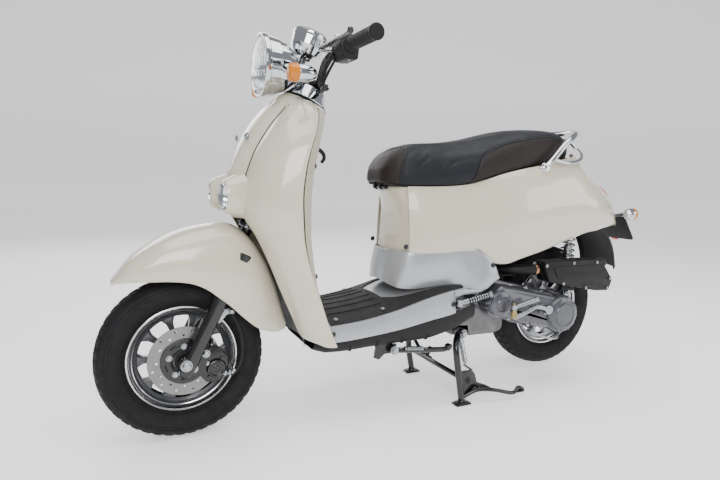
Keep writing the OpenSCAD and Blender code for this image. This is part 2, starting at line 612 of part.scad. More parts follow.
// Cables from the bar housings down through the collar
module control_cables() from_axle() color([0.05, 0.05, 0.05]) {
    for (s = [1, -1]) hose([[868, s * 146.5, 962], [872, s * 134, 950], [874, s * 100, 926], [858, s * 70, 910],
        [838, s * 42, 912], [838, s * 18, 909], [846, s * 16, 890], [861, s * 16, 858], [872, s * 16, 836]], 4.4);
    hose([[862, 146.5, 954], [868, 132, 936], [868, 96, 911], [852, 60, 899], [838, 44, 903], [830, 30, 907],
        [832, 10, 908], [843, 4, 889], [856, 3, 862], [869, 3, 835]], 3.5);
}

// Fender: [x centre, z centre, x edge, z edge, half width, roundness of the shoulder]
fender_line = [
    [1377, 414, 1375, 408, 22, 0.8], [1360, 436, 1356, 416, 48, 0.8], [1334, 468, 1326, 420, 66, 0.8],
    [1298, 496, 1288, 420, 78, 0.8], [1258, 520, 1244, 419, 88, 0.8], [1212, 538, 1200, 412, 93, 0.8],
    [1164, 548, 1166, 396, 95, 0.76], [1124, 552, 1136, 372, 96, 0.65], [1090, 548, 1106, 346, 97, 0.52],
    [1050, 518, 1076, 316, 97, 0.45], [1012, 468, 1044, 288, 90, 0.5], [984, 412, 1014, 272, 80, 0.6],
    [964, 350, 986, 264, 70, 0.7], [952, 296, 958, 268, 62, 0.8]
];
function fender_point(row, u) = let(a = 90 * u, w = pow(cos(a), 0.62), y = pow(abs(sin(a)), row[5]) * sign(u)) [
    lerp(row[2], row[0], w), row[4] * y, lerp(row[3], row[1], w)
];
module front_fender() from_axle() color([0.88, 0.86, 0.79]) {
    difference() {
        sheet([for (row = fender_line) [for (u = [-6:6]) fender_point(row, u / 6 * 0.999)]], shell);
        bar(steer_at(crown_s + 20), steer_at(crown_s + 90), stem_r + 3);
    }
    both_sides() bar(steer_at(crown_s + 21, 0, 40), [1068, 40, 529], 7);
}

// ---------- front wheel end ----------

module fork_lowers() from_axle() color([0.07, 0.07, 0.08]) {
    difference() {
        union() {
            for (s = [-1, 1]) {
                bar(steer_at(-14, 2, s * fork_half), steer_at(200, 0, s * fork_half), 19);
                shaft(front_axle[0], front_axle[2], s * fork_half - 15, s * fork_half + 15, 17);
            }
            slab([[1196, 196], [1206, 180], [1170, 176], [1164, 206], [1152, 240], [1172, 244], [1186, 226]],
                fork_half - 5.5, fork_half + 3);
            slab([[1142, 314], [1148, 306], [1130, 306], [1114, 326], [1096, 328], [1096, 336], [1118, 336],
                [1132, 322]], fork_half - 2, fork_half + 1);
        }
        for (s = [-1, 1]) bar(steer_at(28, 0, s * fork_half), steer_at(202, 0, s * fork_half), 13 + run);
    }
    shaft(front_axle[0], front_axle[2], -fork_half - 22, fork_half + 22, 6);
    both_sides() shaft(front_axle[0], front_axle[2], fork_half + 15, fork_half + 20, 11);
    for (p = [[1166, 229], [1196, 194]]) shaft(p[0], p[1], fork_half + 3, fork_half + 9, 7);
}

module brake_caliper() from_axle() color([0.06, 0.06, 0.07]) {
    difference() {
        slab([[1174, 208], [1156, 240], [1134, 238], [1114, 214], [1110, 180], [1130, 154], [1164, 152], [1180, 172]],
            33, 66);
        shaft(front_axle[0], front_axle[2], 42, 50.5, disc_r + 3);
    }
    shaft(1140, 186, 66.3, 76, 24);
    shaft(1110, 172, 60, 76, 6);
    hose([[1104, 80.6, 168], [1090, 81, 182], [1078, 80, 214], [1078, 78, 262], [1088, 77, 300], [1101, 76, 324]], 4);
}

// Windows between the spokes: inner and outer radius, and half the spoke width at each
window_in = [38, 11];
window_out = [106, 9];
function window_angle(w) = 180 / spoke_count - asin(w[1] / w[0]);
function polar(r, a) = [r * cos(a), r * sin(a)];
function window() = concat(
    [polar(window_in[0], -window_angle(window_in))],
    [for (t = [-1:0.5:1]) polar(window_out[0], t * window_angle(window_out))],
    [polar(window_in[0], window_angle(window_in))]
);
module rim_ring(centre) spun(centre) polygon([
    [rim_r, -31], [rim_r, -28.5], [127, -26], [127, -17.5], [114, -12], [114, 12], [127, 17.5], [127, 26],
    [rim_r, 28.5], [rim_r, 31], [132, 31], [122, 27], [108, 15], [108, -15], [122, -27], [132, -31]
]);
module spokes(centre) translate(centre) difference() {
    shaft(0, 0, -10, 10, 111);
    for (k = [0:spoke_count - 1]) rotate([0, 360 / spoke_count * k, 0])
        rotate([90, 0, 0]) linear_extrude(24, center = true) polygon(window());
}

module front_rim() from_axle() color([0.3, 0.3, 0.32]) difference() {
    union() {
        rim_ring(front_axle);
        spokes(front_axle);
        shaft(front_axle[0], front_axle[2], -43.9, 43.9, 30);
        shaft(front_axle[0] - 101, front_axle[2], -34, -14, 4);
    }
    shaft(front_axle[0], front_axle[2], -44.5, 44.5, 6 + run);
}

module tyre_ring(centre) spun(centre) let(w = tyre_w / 2, k = tyre_r / 208) polygon(concat(
    [for (p = [[127.3, 18], [127.3, 25.6], [137, 28.1], [147, 37], [158, w - 2], [168, w], [180, w - 0.6], [190, w - 4],
        [198, w - 10], [204 * k, w - 20], [207.2 * k, w - 33]]) p],
    [[tyre_r, 0]],
    [for (p = [[207.2 * k, w - 33], [204 * k, w - 20], [198, w - 10], [190, w - 4], [180, w - 0.6], [168, w],
        [158, w - 2], [147, 37], [137, 28.1], [127.3, 25.6], [127.3, 18]]) [p[0], -p[1]]],
    [for (p = [[136, 18], [140, 24], [152, 33], [166, 39], [180, 38], [191, 31], [198, 18]]) [p[0], -p[1]]],
    [for (p = [[198, 18], [191, 31], [180, 38], [166, 39], [152, 33], [140, 24], [136, 18]]) p]
));
module front_tyre() from_axle() color([0.05, 0.05, 0.055]) tyre_ring(front_axle);
module rear_tyre() from_axle() color([0.05, 0.05, 0.055]) tyre_ring(rear_axle);

module brake_disc() from_axle() color([0.6, 0.6, 0.62]) difference() {
    spun(front_axle) polygon([[31, -48.2], [disc_r, -48.2], [disc_r, -44.2], [31, -44.2]]);
    for (k = [0:11]) for (r = [66, 78]) translate(front_axle) rotate([0, 30 * k + (r == 66 ? 0 : 15), 0])
        translate([r, 0, 0]) shaft(0, 0, 43, 50, 3);
}

module rear_rim() from_axle() color([0.72, 0.73, 0.75]) {
    rim_ring(rear_axle);
    spokes(rear_axle);
    shaft(rear_axle[0], rear_axle[2], -43.9, 40, 32);
    shaft(rear_axle[0], rear_axle[2], 5, 44, 62);
    shaft(rear_axle[0], rear_axle[2], -58, 66, 10);
    shaft(rear_axle[0], rear_axle[2], -56, -40, 17);
}

// ---------- engine unit ----------

crank_outline = [
    [215, 184], [250, 175], [345, 177], [400, 186], [418, 210], [418, 262], [398, 298], [345, 336], [285, 344],
    [225, 325], [214, 275], [214, 215]
];
case_outline = [
    [374, 308], [330, 354], [306, 362], [100, 316], [20, 302], [-40, 277], [-58, 240], [-40, 200], [0, 184],
    [40, 185], [94, 196], [220, 225], [290, 252], [346, 277]
];
module engine_case() from_axle() color([0.42, 0.42, 0.43]) {
    difference() {
        union() {
            slab(crank_outline, -68, 57);
            slab(case_outline, 56, 95);
            shaft(rear_axle[0], rear_axle[2], 49, 60, 42);
            shaft(swing_pivot[0], swing_pivot[2], -60, 60, 18);
            slab([[398, 250], [444, 292], [420, 316], [380, 306]], -40, 40);
            translate([410, -42, 208]) cube([58, 84, 74]);
            shaft(stand_pivot[0], stand_pivot[2], -76, 76, 14);
            slab([[-62, 270], [-10, 290], [-22, 330], [-48, 330]], 56, 64);
        }
        shaft(swing_pivot[0], swing_pivot[2], -62, 62, 10 + run);
        shaft(rear_axle[0], rear_axle[2], 48, 70, 10 + run);
    }
    shaft(stand_pivot[0], stand_pivot[2], -96, 96, 8);
    shaft(shock_x, shock_low, 60, 92, 5);
    shaft(322, 262, -96, -68.2, 62);
    translate([322, -8, 338]) cylinder(h = 34, r = 13);
    translate([300, -28, 372]) cube([46, 48, 40]);
}

cover_outline = [
    [376, 308], [328, 358], [311, 367], [200, 343], [100, 320], [29, 302], [-2, 276], [-11, 250], [-5, 213], [10, 192],
    [38, 182], [94, 193], [220, 222], [286, 250], [344, 277]
];
cover_middle = [180, 268];
cover_wall = 5;
module cvt_cover() from_axle() color([0.3, 0.3, 0.33]) {
    difference() {
        union() {
            slab(cover_outline, 95.2, 166);
            shaft(68, 250, 95.2, 184, 61);
            shaft(314, 302, 95.2, 175, 44);
        }
        slab([for (p = cover_outline) cover_middle + [(p[0] - cover_middle[0]) * 0.94, (p[1] - cover_middle[1]) * 0.88]],
            95, 166 - cover_wall);
        shaft(68, 250, 95, 184 - cover_wall, 61 - cover_wall);
        shaft(314, 302, 95, 175 - cover_wall, 44 - cover_wall);
    }
    shaft(kick_pivot[0], kick_pivot[2], 120, 204, 7);
    shaft(kick_pivot[0], kick_pivot[2], 160, 178, 15);
}

module air_filter_box() from_axle() color([0.07, 0.07, 0.08]) {
    slab([[150, 420], [-88, 418], [-124, 396], [-165, 345], [-150, 308], [-87, 312], [120, 354]], 106, 160);
    hose([[150.5, 130, 392], [186, 126, 394], [224, 108, 394], [254, 70, 393], [270, 28, 393], [285, -3, 393],
        [299.8, -3, 393]], 17, 12);
    slab([[-40, 318], [20, 332], [20, 314], [-40, 306]], 108, 116);
}

module exhaust() from_axle() color([0.1, 0.1, 0.11]) {
    bent_bar([[446, -20, 207.8], [446, -20, 188], [440, -44, 164], [410, -68, 156], [350, -92, 160],
        [270, -112, 198], [160, -116, 220]], 11.5);
    difference() {
        union() {
            bar([170, -116, 220], [-210, -116, 262], 47);
            bar([-208, -116, 262], [-240, -116, 266], 12);
        }
        bar([166, -116, 220.5], [-206, -116, 261.5], 44.5);
        bar([-200, -116, 261], [-241, -116, 266.1], 9.5);
    }
}

module kick_lever() from_axle() color([0.72, 0.73, 0.75]) difference() {
    union() {
        shaft(kick_pivot[0], kick_pivot[2], 186, 203, 14);
        bent_bar([[164, 196, 279], [206, 197, 292], [284, 197, 268], [292, 197, 268]], 7);
        translate([292, 197, 266]) cylinder(h = 23, r = 9);
        translate([292, 197, 266]) cylinder(h = 46, r = 4);
    }
    shaft(kick_pivot[0], kick_pivot[2], 180, 210, 7 + run);
}
module kick_pedal() from_axle() color([0.75, 0.76, 0.78]) difference() {
    union() {
        translate([292, 197, 290]) cylinder(h = 15, r = 9);
        bar([285, 198, 298], [206, 201, 316], 6.5);
    }
    translate([292, 197, 280]) cylinder(h = 40, r = 4 + run);
}

module shock_body() from_axle() color([0.1, 0.1, 0.11]) difference() {
    union() {
        shaft(shock_x, shock_high, shock_y - 8, shock_y + 8, 13);
        translate([shock_x, shock_y, 512]) cylinder(h = 66, r = 16);
        translate([shock_x, shock_y, 561]) cylinder(h = 6, r = 25);
    }
    shaft(shock_x, shock_high, shock_y - 9, shock_y + 9, 7 + run);
    translate([shock_x, shock_y, 511]) cylinder(h = 63, r = 6 + run);
}
module shock_rod() from_axle() color([0.7, 0.71, 0.73]) difference() {
    union() {
        shaft(shock_x, shock_low, shock_y - 8, shock_y + 8, 16);
        translate([shock_x, shock_y, shock_low + 10]) cylinder(h = 460 - shock_low - 10, r = 13);
        translate([shock_x, shock_y, 362]) cylinder(h = 6, r = 25);
        translate([shock_x, shock_y, 455]) cylinder(h = 68, r = 6);
    }
    shaft(shock_x, shock_low, shock_y - 9, shock_y + 9, 10.5);
}
module shock_spring() from_axle() color([0.6, 0.6, 0.62]) translate([shock_x, shock_y, 368.3]) difference() {
    cylinder(h = 192.4, r = 24);
    translate([0, 0, -1]) cylinder(h = 195, r = 17.5);
}

// ---------- stands and pegs ----------

foot_x = 430;
foot_y = 146;
module centre_stand() from_axle() color([0.06, 0.06, 0.07]) {
    difference() {
        both_sides() union() {
            shaft(stand_pivot[0], stand_pivot[2], 80, 94, 15);
            bent_bar([[402, 87, 202], [428, 108, 198], [450, 134, 172], [444, foot_y, 88], [foot_x + 1, foot_y, 12]], 10);
            translate([foot_x - 27, foot_y - 16, 0]) cube([54, 32, 7]);
        }
        shaft(stand_pivot[0], stand_pivot[2], -100, 100, 8 + run);
    }
    shaft(444, 88, -foot_y, foot_y, 8);
    bar([438, -40, 96], [424, -40, 116], 11);
    slab([[444, 100], [422, 104], [396, 102], [386, 88], [378, 62], [344, 48], [318, 34], [322, 24], [380, 38],
        [424, 22], [436, 30]], foot_y - 3, foot_y + 3);
    bent_bar([[428, 148, 22], [384, 160, 42], [330, 172, 38], [262, 177, 20], [240, 177, 34], [222, 177, 26]], 6);
}

side_pivot = [666, 0, 196];
module side_stand() from_axle() color([0.06, 0.06, 0.07]) difference() {
    union() {
        shaft(side_pivot[0], side_pivot[2], 132, 142, 12);
        bent_bar([[656, 139, 194], [500, 141, 178], [482, 141, 186]], 8);
        shaft(484, 184, 134, 150, 10);
    }
    shaft(side_pivot[0], side_pivot[2], 130, 144, 7 + run);
}

peg_x = 470;
module peg_shape() difference() {
    union() {
        translate([peg_x, 171, 310]) cylinder(h = 20, r = 9);
        bar([462, 171.5, 321], [362, 173, 338], 8);
    }
    translate([peg_x, 171, 300]) cylinder(h = 40, r = 5 + run);
}
module peg_left() from_axle() color([0.72, 0.73, 0.75]) peg_shape();
module peg_right() from_axle() color([0.72, 0.73, 0.75]) mirror([0, 1, 0]) peg_shape();

main_frame();
leg_shield();
centre_cowl();
inner_shield();
shield_lamps();
stem_collar();
floor_board();
floor_mat();
under_panels();
under_seat_panel();
side_panels();
lower_cover();
rear_lamps();
rear_mudguard();
grab_rail();
storage_box();
fuel_tank();
battery();
panel_screws();
fuel_cap();
seat_pan();
seat_cushion();
ignition_key();
steering_stem();
handlebar();
headlight_bucket();
headlight_lens();
instrument_pod();
front_signals();
switch_block();
throttle_housing();
left_grip();
lever_perches();
control_cables();
front_fender();
throttle_grip();
brake_lever_left();
brake_lever_right();
horn_button();
starter_button();
fork_lowers();
brake_caliper();
front_rim();
front_tyre();
brake_disc();
engine_case();
cvt_cover();
air_filter_box();
exhaust();
rear_rim();
rear_tyre();
kick_lever();
kick_pedal();
shock_body();
shock_rod();
shock_spring();
centre_stand();
side_stand();
peg_left();
peg_right();
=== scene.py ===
"""Looks of the moped scooter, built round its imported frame.

Shapes are written in millimetres, with X measured forward from the rear axle, Y to the rider's left and Z up.
"""
import math

import bmesh
import bpy
import numpy as np
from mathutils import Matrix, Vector
from mathutils.bvhtree import BVHTree


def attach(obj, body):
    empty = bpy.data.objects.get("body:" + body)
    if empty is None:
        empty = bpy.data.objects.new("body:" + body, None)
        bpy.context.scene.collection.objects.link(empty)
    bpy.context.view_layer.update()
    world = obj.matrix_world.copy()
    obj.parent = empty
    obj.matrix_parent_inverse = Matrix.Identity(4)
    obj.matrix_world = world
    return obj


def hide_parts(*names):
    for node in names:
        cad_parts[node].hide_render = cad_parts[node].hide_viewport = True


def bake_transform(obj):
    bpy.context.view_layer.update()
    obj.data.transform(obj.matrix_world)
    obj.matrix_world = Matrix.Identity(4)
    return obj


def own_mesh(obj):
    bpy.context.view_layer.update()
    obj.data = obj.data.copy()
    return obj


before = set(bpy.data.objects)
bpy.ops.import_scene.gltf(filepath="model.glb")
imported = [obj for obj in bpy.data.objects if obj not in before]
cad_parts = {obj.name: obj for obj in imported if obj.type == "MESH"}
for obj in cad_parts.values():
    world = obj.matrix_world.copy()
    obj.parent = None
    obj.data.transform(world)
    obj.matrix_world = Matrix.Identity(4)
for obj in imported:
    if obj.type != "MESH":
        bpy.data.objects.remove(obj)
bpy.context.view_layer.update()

# ---------- measures shared with the frame ----------

AXLE_TO_MIDDLE = 535.0
FRONT = np.array([1215.0, 0.0, 208.0])
REAR = np.array([0.0, 0.0, 240.5])
RAKE = math.radians(26)
UP = np.array([-math.sin(RAKE), 0.0, math.cos(RAKE)])
FORE = np.array([math.cos(RAKE), 0.0, math.sin(RAKE)])
SIDE = np.array([0.0, 1.0, 0.0])
STEER_FOOT = FRONT - 12 * FORE
FORK_HALF = 72.0
BRIDGE_S = 300.0
CLAMP_S = 790.0
GRIP_X, GRIP_Z = 847.0, 985.0
BAR_HALF = 350.0
FLOOR_HALF = 158.0
KICK_X, KICK_Z = 155.0, 278.0
DISC_R = 88.0
DISC_INNER_R = 54.0
DISC_HOLE_R = 3.1
SHOCK_X, SHOCK_Y = -35.0, 78.0


def steer_at(s, n=0.0, y=0.0):
    """Point s along the steering axis, n ahead of it and y to the left."""
    return STEER_FOOT + s * UP + n * FORE + y * SIDE


def metres(points):
    """Points in millimetres from the rear axle, as metres in the shared frame."""
    p = np.asarray(points, float).reshape(-1, 3)
    return (p - [AXLE_TO_MIDDLE, 0, 0]) / 1000.0


# ---------- camera ----------

def make_camera():
    """A camera to the left front, a little below seat height, placed to match the photograph."""
    data = bpy.data.cameras.new("camera")
    data.lens = 27.0
    data.sensor_width = 36.0
    obj = bpy.data.objects.new("camera", data)
    bpy.context.scene.collection.objects.link(obj)
    azimuth, elevation, roll = (math.radians(a) for a in (154.35, 7.04, 1.21))
    back = Vector((
        math.sin(azimuth) * math.cos(elevation),
        -math.cos(azimuth) * math.cos(elevation),
        math.sin(elevation),
    ))
    right = (-back).cross(Vector((0, 0, 1))).normalized()
    up = right.cross(-back).normalized()
    tilted_right = math.cos(roll) * right + math.sin(roll) * up
    tilted_up = math.cos(roll) * up - math.sin(roll) * right
    matrix = obj.matrix_world.copy()
    for row in range(3):
        matrix[row][0] = tilted_right[row]
        matrix[row][1] = tilted_up[row]
        matrix[row][2] = back[row]
    matrix.translation = Vector(metres((1389.0, 1412.5, 683.9))[0])
    obj.matrix_world = matrix
    bpy.context.scene.camera = obj


make_camera()


# ---------- curves ----------

def slopes(x, y):
    """Slopes of a smooth curve through the points that never overshoots them."""
    h = np.diff(x)
    d = np.diff(y) / h
    m = np.zeros(len(x))
    m[0], m[-1] = d[0], d[-1]
    for i in range(1, len(x) - 1):
        if d[i - 1] * d[i] > 0:
            w1, w2 = 2 * h[i] + h[i - 1], h[i] + 2 * h[i - 1]
            m[i] = (w1 + w2) / (w1 / d[i - 1] + w2 / d[i])
    return m


def smooth(table, column, at):
    """Value of a table's column at a value of its first column, on a smooth curve."""
    rows = sorted(table)
    x = np.array([r[0] for r in rows], float)
    y = np.array([r[column] for r in rows], float)
    m = slopes(x, y)
    at = np.clip(np.asarray(at, float), x[0], x[-1])
    i = np.clip(np.searchsorted(x, at, side="right") - 1, 0, len(x) - 2)
    h = x[i + 1] - x[i]
    t = (at - x[i]) / h
    return (
        y[i] * (1 + 2 * t) * (1 - t) ** 2 + m[i] * h * t * (1 - t) ** 2
        + y[i + 1] * t * t * (3 - 2 * t) + m[i + 1] * h * t * t * (t - 1)
    )


def catmull(points, steps):
    """The points joined by a smooth curve, with that many steps in each span."""
    p = np.asarray(points, float)
    ends = np.vstack([2 * p[0] - p[1], p, 2 * p[-1] - p[-2]])
    out = []
    for i in range(1, len(ends) - 2):
        a, b, c, d = ends[i - 1:i + 3]
        for k in range(steps):
            t = k / steps
            out.append(0.5 * (
                2 * b + (c - a) * t + (2 * a - 5 * b + 4 * c - d) * t * t
                + (3 * b - a - 3 * c + d) * t ** 3
            ))
    out.append(p[-1])
    return np.array(out)


def through3(a, b, c, v):
    return a * (1 - v) * (1 - 2 * v) + b * 4 * v * (1 - v) + c * v * (2 * v - 1)


def fillet(points, radius, closed=False, steps=4):
    """The outline with each corner rounded off."""
    p = [np.asarray(q, float) for q in points]
    n = len(p)
    out = []
    for i in range(n):
        if not closed and i in (0, n - 1):
            out.append(p[i])
            continue
        a, b, c = p[i - 1], p[i], p[(i + 1) % n]
        la, lc = np.linalg.norm(a - b), np.linalg.norm(c - b)
        if la < 1e-6 or lc < 1e-6:
            out.append(b)
            continue
        u, w = (a - b) / la, (c - b) / lc
        half = math.acos(max(-1.0, min(1.0, float(u @ w)))) / 2
        if half > math.radians(86):
            out.append(b)
            continue
        cut = min(radius / max(math.tan(half), 1e-3), 0.45 * la, 0.45 * lc)
        start, end = b + u * cut, b + w * cut
        for k in range(steps + 1):
            t = k / steps
            out.append((1 - t) ** 2 * start + 2 * t * (1 - t) * b + t * t * end)
    return np.array(out)


def inset(outline, by):
    """A closed 2-D outline moved inwards."""
    p = np.asarray(outline, float)
    area = 0.5 * np.sum(p[:, 0] * np.roll(p[:, 1], -1) - np.roll(p[:, 0], -1) * p[:, 1])
    edge = np.roll(p, -1, 0) - p
    edge = edge / np.maximum(np.linalg.norm(edge, axis=1, keepdims=True), 1e-9)
    normal = np.stack([-edge[:, 1], edge[:, 0]], 1) * (1 if area > 0 else -1)
    both = normal + np.roll(normal, 1, 0)
    both = both / np.maximum(np.linalg.norm(both, axis=1, keepdims=True), 1e-6)
    reach = np.minimum(1 / np.maximum(np.sum(both * normal, 1), 0.5), 1.6)
    return p + both * reach[:, None] * by


# ---------- mesh pieces ----------

def basis(axis):
    """Two directions square to an axis."""
    a = np.asarray(axis, float)
    a = a / np.linalg.norm(a)
    ref = np.array([0, 0, 1.0]) if abs(a[2]) < 0.9 else np.array([1.0, 0, 0])
    u = np.cross(ref, a)
    u = u / np.linalg.norm(u)
    return a, u, np.cross(a, u)


class Shape:
    """Vertices and faces gathered into one piece. Every add takes the index of its material."""

    def __init__(self):
        self.points = []
        self.faces = []
        self.paint = []
        self.count = 0

    def add(self, points, faces, mat=0):
        points = np.asarray(points, float).reshape(-1, 3)
        self.points.append(points)
        self.faces += [tuple(self.count + i for i in f) for f in faces]
        self.paint += [mat] * len(faces)
        self.count += len(points)
        return self

    def rings(self, rings, mat=0, cap_start=True, cap_end=True, closed=True):
        """Rings of points joined one after the other."""
        rings = [np.asarray(r, float) for r in rings]
        m = len(rings[0])
        faces = []
        span = m if closed else m - 1
        for i in range(len(rings) - 1):
            for j in range(span):
                k = (j + 1) % m
                faces.append((i * m + j, i * m + k, (i + 1) * m + k, (i + 1) * m + j))
        if cap_start:
            faces.append(tuple(range(m - 1, -1, -1)))
        if cap_end:
            faces.append(tuple((len(rings) - 1) * m + j for j in range(m)))
        return self.add(np.vstack(rings), faces, mat)

    def lathe(self, profile, origin, axis, mat=0, sides=48, soft=0.0, arc=360.0):
        """(radius, height) points turned about an axis. A soft above 0 rounds the profile's corners."""
        p = fillet(profile, soft) if soft else np.asarray(profile, float)
        a, u, w = basis(axis)
        origin = np.asarray(origin, float)
        whole = arc >= 360
        turns = np.radians(np.linspace(0, arc, sides + (0 if whole else 1), endpoint=not whole))
        rings = [
            [origin + h * a + max(r, 0.01) * (math.cos(t) * u + math.sin(t) * w) for t in turns]
            for r, h in p
        ]
        shut = p[0][0] < 0.02, p[-1][0] < 0.02
        return self.rings(rings, mat, cap_start=shut[0] and whole, cap_end=shut[1] and whole, closed=whole)

    def disc(self, centre, axis, r, h, mat=0, sides=32, edge=1.0):
        """A short round boss with softened edges, from centre along axis."""
        e = min(edge, r * 0.4, abs(h) * 0.4)
        s = 1 if h > 0 else -1
        profile = [(0, 0), (r - e, 0), (r, e * s), (r, h - e * s), (r - e, h), (0, h)]
        return self.lathe(profile, centre, axis, mat, sides)

    def tube(self, points, radius, mat=0, sides=16, steps=6, bend=True, round_ends=True, flat=1.0):
        """A bar swept along points. radius may be a list, one for each point."""
        p = catmull(points, steps) if bend and len(points) > 2 else np.asarray(points, float)
        radii = np.broadcast_to(np.asarray(radius, float), (len(points),)) if np.ndim(radius) else None
        if radii is None:
            r = np.full(len(p), float(radius))
        else:
            r = np.interp(np.linspace(0, len(points) - 1, len(p)), np.arange(len(points)), radii)
        along = np.gradient(p, axis=0)
        along = along / np.linalg.norm(along, axis=1, keepdims=True)
        _, u, _ = basis(along[0])
        rings = []
        for i in range(len(p)):
            u = u - along[i] * (u @ along[i])
            u = u / np.linalg.norm(u)
            w = np.cross(along[i], u)
            turns = np.linspace(0, 2 * math.pi, sides, endpoint=False)
            ring = [p[i] + r[i] * (math.cos(t) * u + flat * math.sin(t) * w) for t in turns]
            rings.append(np.array(ring))
        if round_ends:
            for end, way in ((0, -1), (-1, 1)):
                centre, tip = p[end], along[end] * way * r[end]
                caps = [
                    centre + (rings[end] - centre) * math.cos(a) + tip * math.sin(a) * 0.6
                    for a in (math.radians(35), math.radians(65), math.radians(84))
                ]
                rings = caps[::-1] + rings if end == 0 else rings + caps
        return self.rings(rings, mat)

    def prism(self, outline, y0, y1, mat=0, edge=1.5, corner=0.0, plane="xz"):
        """An outline extruded with rounded edges. The plane is the outline's own: xz, xy or yz."""
        p = np.asarray(outline, float)
        if corner:
            p = fillet(p, corner, closed=True)
        e = min(edge, abs(y1 - y0) * 0.45)
        s = 1 if y1 > y0 else -1
        levels = [(y0, e), (y0 + 0.29 * e * s, 0.29 * e), (y0 + e * s, 0), (y1 - e * s, 0),
                  (y1 - 0.29 * e * s, 0.29 * e), (y1, e)]
        rings = []
        for level, by in levels:
            q = inset(p, by) if by else p
            flat = np.full(len(q), level)
            if plane == "xz":
                ring = np.stack([q[:, 0], flat, q[:, 1]], 1)
            elif plane == "xy":
                ring = np.stack([q[:, 0], q[:, 1], flat], 1)
            else:
                ring = np.stack([flat, q[:, 0], q[:, 1]], 1)
            rings.append(ring)
        return self.rings(rings, mat)

    def sheet(self, grid, mat=0):
        """A grid of points as a surface of four-sided faces."""
        g = np.asarray(grid, float)
        ni, nj = g.shape[:2]
        faces = [
            (i * nj + j, (i + 1) * nj + j, (i + 1) * nj + j + 1, i * nj + j + 1)
            for i in range(ni - 1) for j in range(nj - 1)
        ]
        return self.add(g.reshape(-1, 3), faces, mat)

    def bolt(self, centre, axis, r=6.0, mat=0, head="hex"):
        """A bolt head with its washer, standing on centre and facing along axis."""
        a, u, w = basis(axis)
        c = np.asarray(centre, float)
        self.disc(c, a, r * 1.45, r * 0.22, mat, 20, 0.3)
        if head == "hex":
            turns = np.radians(np.arange(0, 360, 60))
            rings = [
                [c + h * a + q * (math.cos(t) * u + math.sin(t) * w) for t in turns]
                for q, h in ((r * 1.1, r * 0.2), (r * 1.1, r * 0.8), (r * 0.92, r * 0.98))
            ]
            self.rings(rings, mat)
        else:
            self.lathe([(0, r * 0.2), (r, r * 0.2), (r * 0.95, r * 0.6), (r * 0.6, r * 0.9),
                        (r * 0.3, r * 0.92), (r * 0.28, r * 0.55), (0, r * 0.55)], c, a, mat, 20)
        return self

    def mirrored(self):
        """The same shape on the other side too."""
        points = np.vstack(self.points) * [1, -1, 1]
        faces, paint = [tuple(reversed(f)) for f in self.faces], list(self.paint)
        self.points.append(points)
        self.faces += [tuple(i + self.count for i in f) for f in faces]
        self.paint += paint
        self.count *= 2
        return self

    def done(self, name, body, materials, slot, replaces=(), sharp=38, shell=0.0, inside=None, rim=0.5):
        """Makes the object. A shell above 0 gives an open surface that thickness, away from its face.

        A piece given no body, such as a hose that runs between two bodies, is attached to none."""
        mesh = bpy.data.meshes.new(name)
        mesh.from_pydata(metres(np.vstack(self.points)).tolist(), [], self.faces)
        mesh.polygons.foreach_set("material_index", self.paint)
        for m in materials if isinstance(materials, (list, tuple)) else [materials]:
            mesh.materials.append(m)
        bm = bmesh.new()
        bm.from_mesh(mesh)
        bmesh.ops.remove_doubles(bm, verts=bm.verts, dist=2e-6)
        if inside is not None:
            anchor = Vector(metres(inside)[0])
            vote = sum(
                (f.calc_center_median() - anchor).normalized().dot(f.normal) * f.calc_area()
                for f in bm.faces
            )
            if vote < 0:
                bmesh.ops.reverse_faces(bm, faces=bm.faces)
        else:
            bmesh.ops.recalc_face_normals(bm, faces=bm.faces)
        bm.to_mesh(mesh)
        bm.free()
        mesh.polygons.foreach_set("use_smooth", [True] * len(mesh.polygons))
        mesh.set_sharp_from_angle(angle=math.radians(sharp))
        obj = bpy.data.objects.new(name, mesh)
        bpy.context.scene.collection.objects.link(obj)
        if shell:
            thick = obj.modifiers.new("thickness", "SOLIDIFY")
            thick.thickness = shell / 1000
            thick.offset = -1
            soft = obj.modifiers.new("soft_rim", "BEVEL")
            soft.width = rim / 1000
            soft.segments = 2
            soft.limit_method = "ANGLE"
            soft.angle_limit = math.radians(60)
            soft.harden_normals = True
        if body:
            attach(obj, body)
        if replaces:
            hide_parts(*([replaces] if isinstance(replaces, str) else replaces))
        return obj


# ---------- materials ----------

def noise(tree, where, size, detail=3.0, rough=0.55):
    """Noise whose features are about that many millimetres across."""
    node = tree.nodes.new("ShaderNodeTexNoise")
    node.inputs["Scale"].default_value = 1000.0 / size
    node.inputs["Detail"].default_value = detail
    node.inputs["Roughness"].default_value = rough
    tree.links.new(where, node.inputs["Vector"])
    return node.outputs["Fac"]


def spread(tree, value, low, high, start=0.3, end=0.7):
    """A value between start and end mapped to low and high."""
    node = tree.nodes.new("ShaderNodeMapRange")
    node.inputs["From Min"].default_value = start
    node.inputs["From Max"].default_value = end
    node.inputs["To Min"].default_value = low
    node.inputs["To Max"].default_value = high
    tree.links.new(value, node.inputs["Value"])
    return node.outputs["Result"]


def blend_colour(tree, factor, first, second):
    node = tree.nodes.new("ShaderNodeMix")
    node.data_type = "RGBA"
    tree.links.new(factor, node.inputs["Factor"])
    for socket, colour in ((node.inputs["A"], first), (node.inputs["B"], second)):
        if isinstance(colour, bpy.types.NodeSocket):
            tree.links.new(colour, socket)
        else:
            socket.default_value = (*colour, 1)
    return node.outputs["Result"]


def bumped(tree, height, strength, depth, under=None):
    """A bump of that depth in millimetres."""
    node = tree.nodes.new("ShaderNodeBump")
    node.inputs["Strength"].default_value = strength
    node.inputs["Distance"].default_value = depth / 1000.0
    tree.links.new(height, node.inputs["Height"])
    if under is not None:
        tree.links.new(under, node.inputs["Normal"])
    return node.outputs["Normal"]


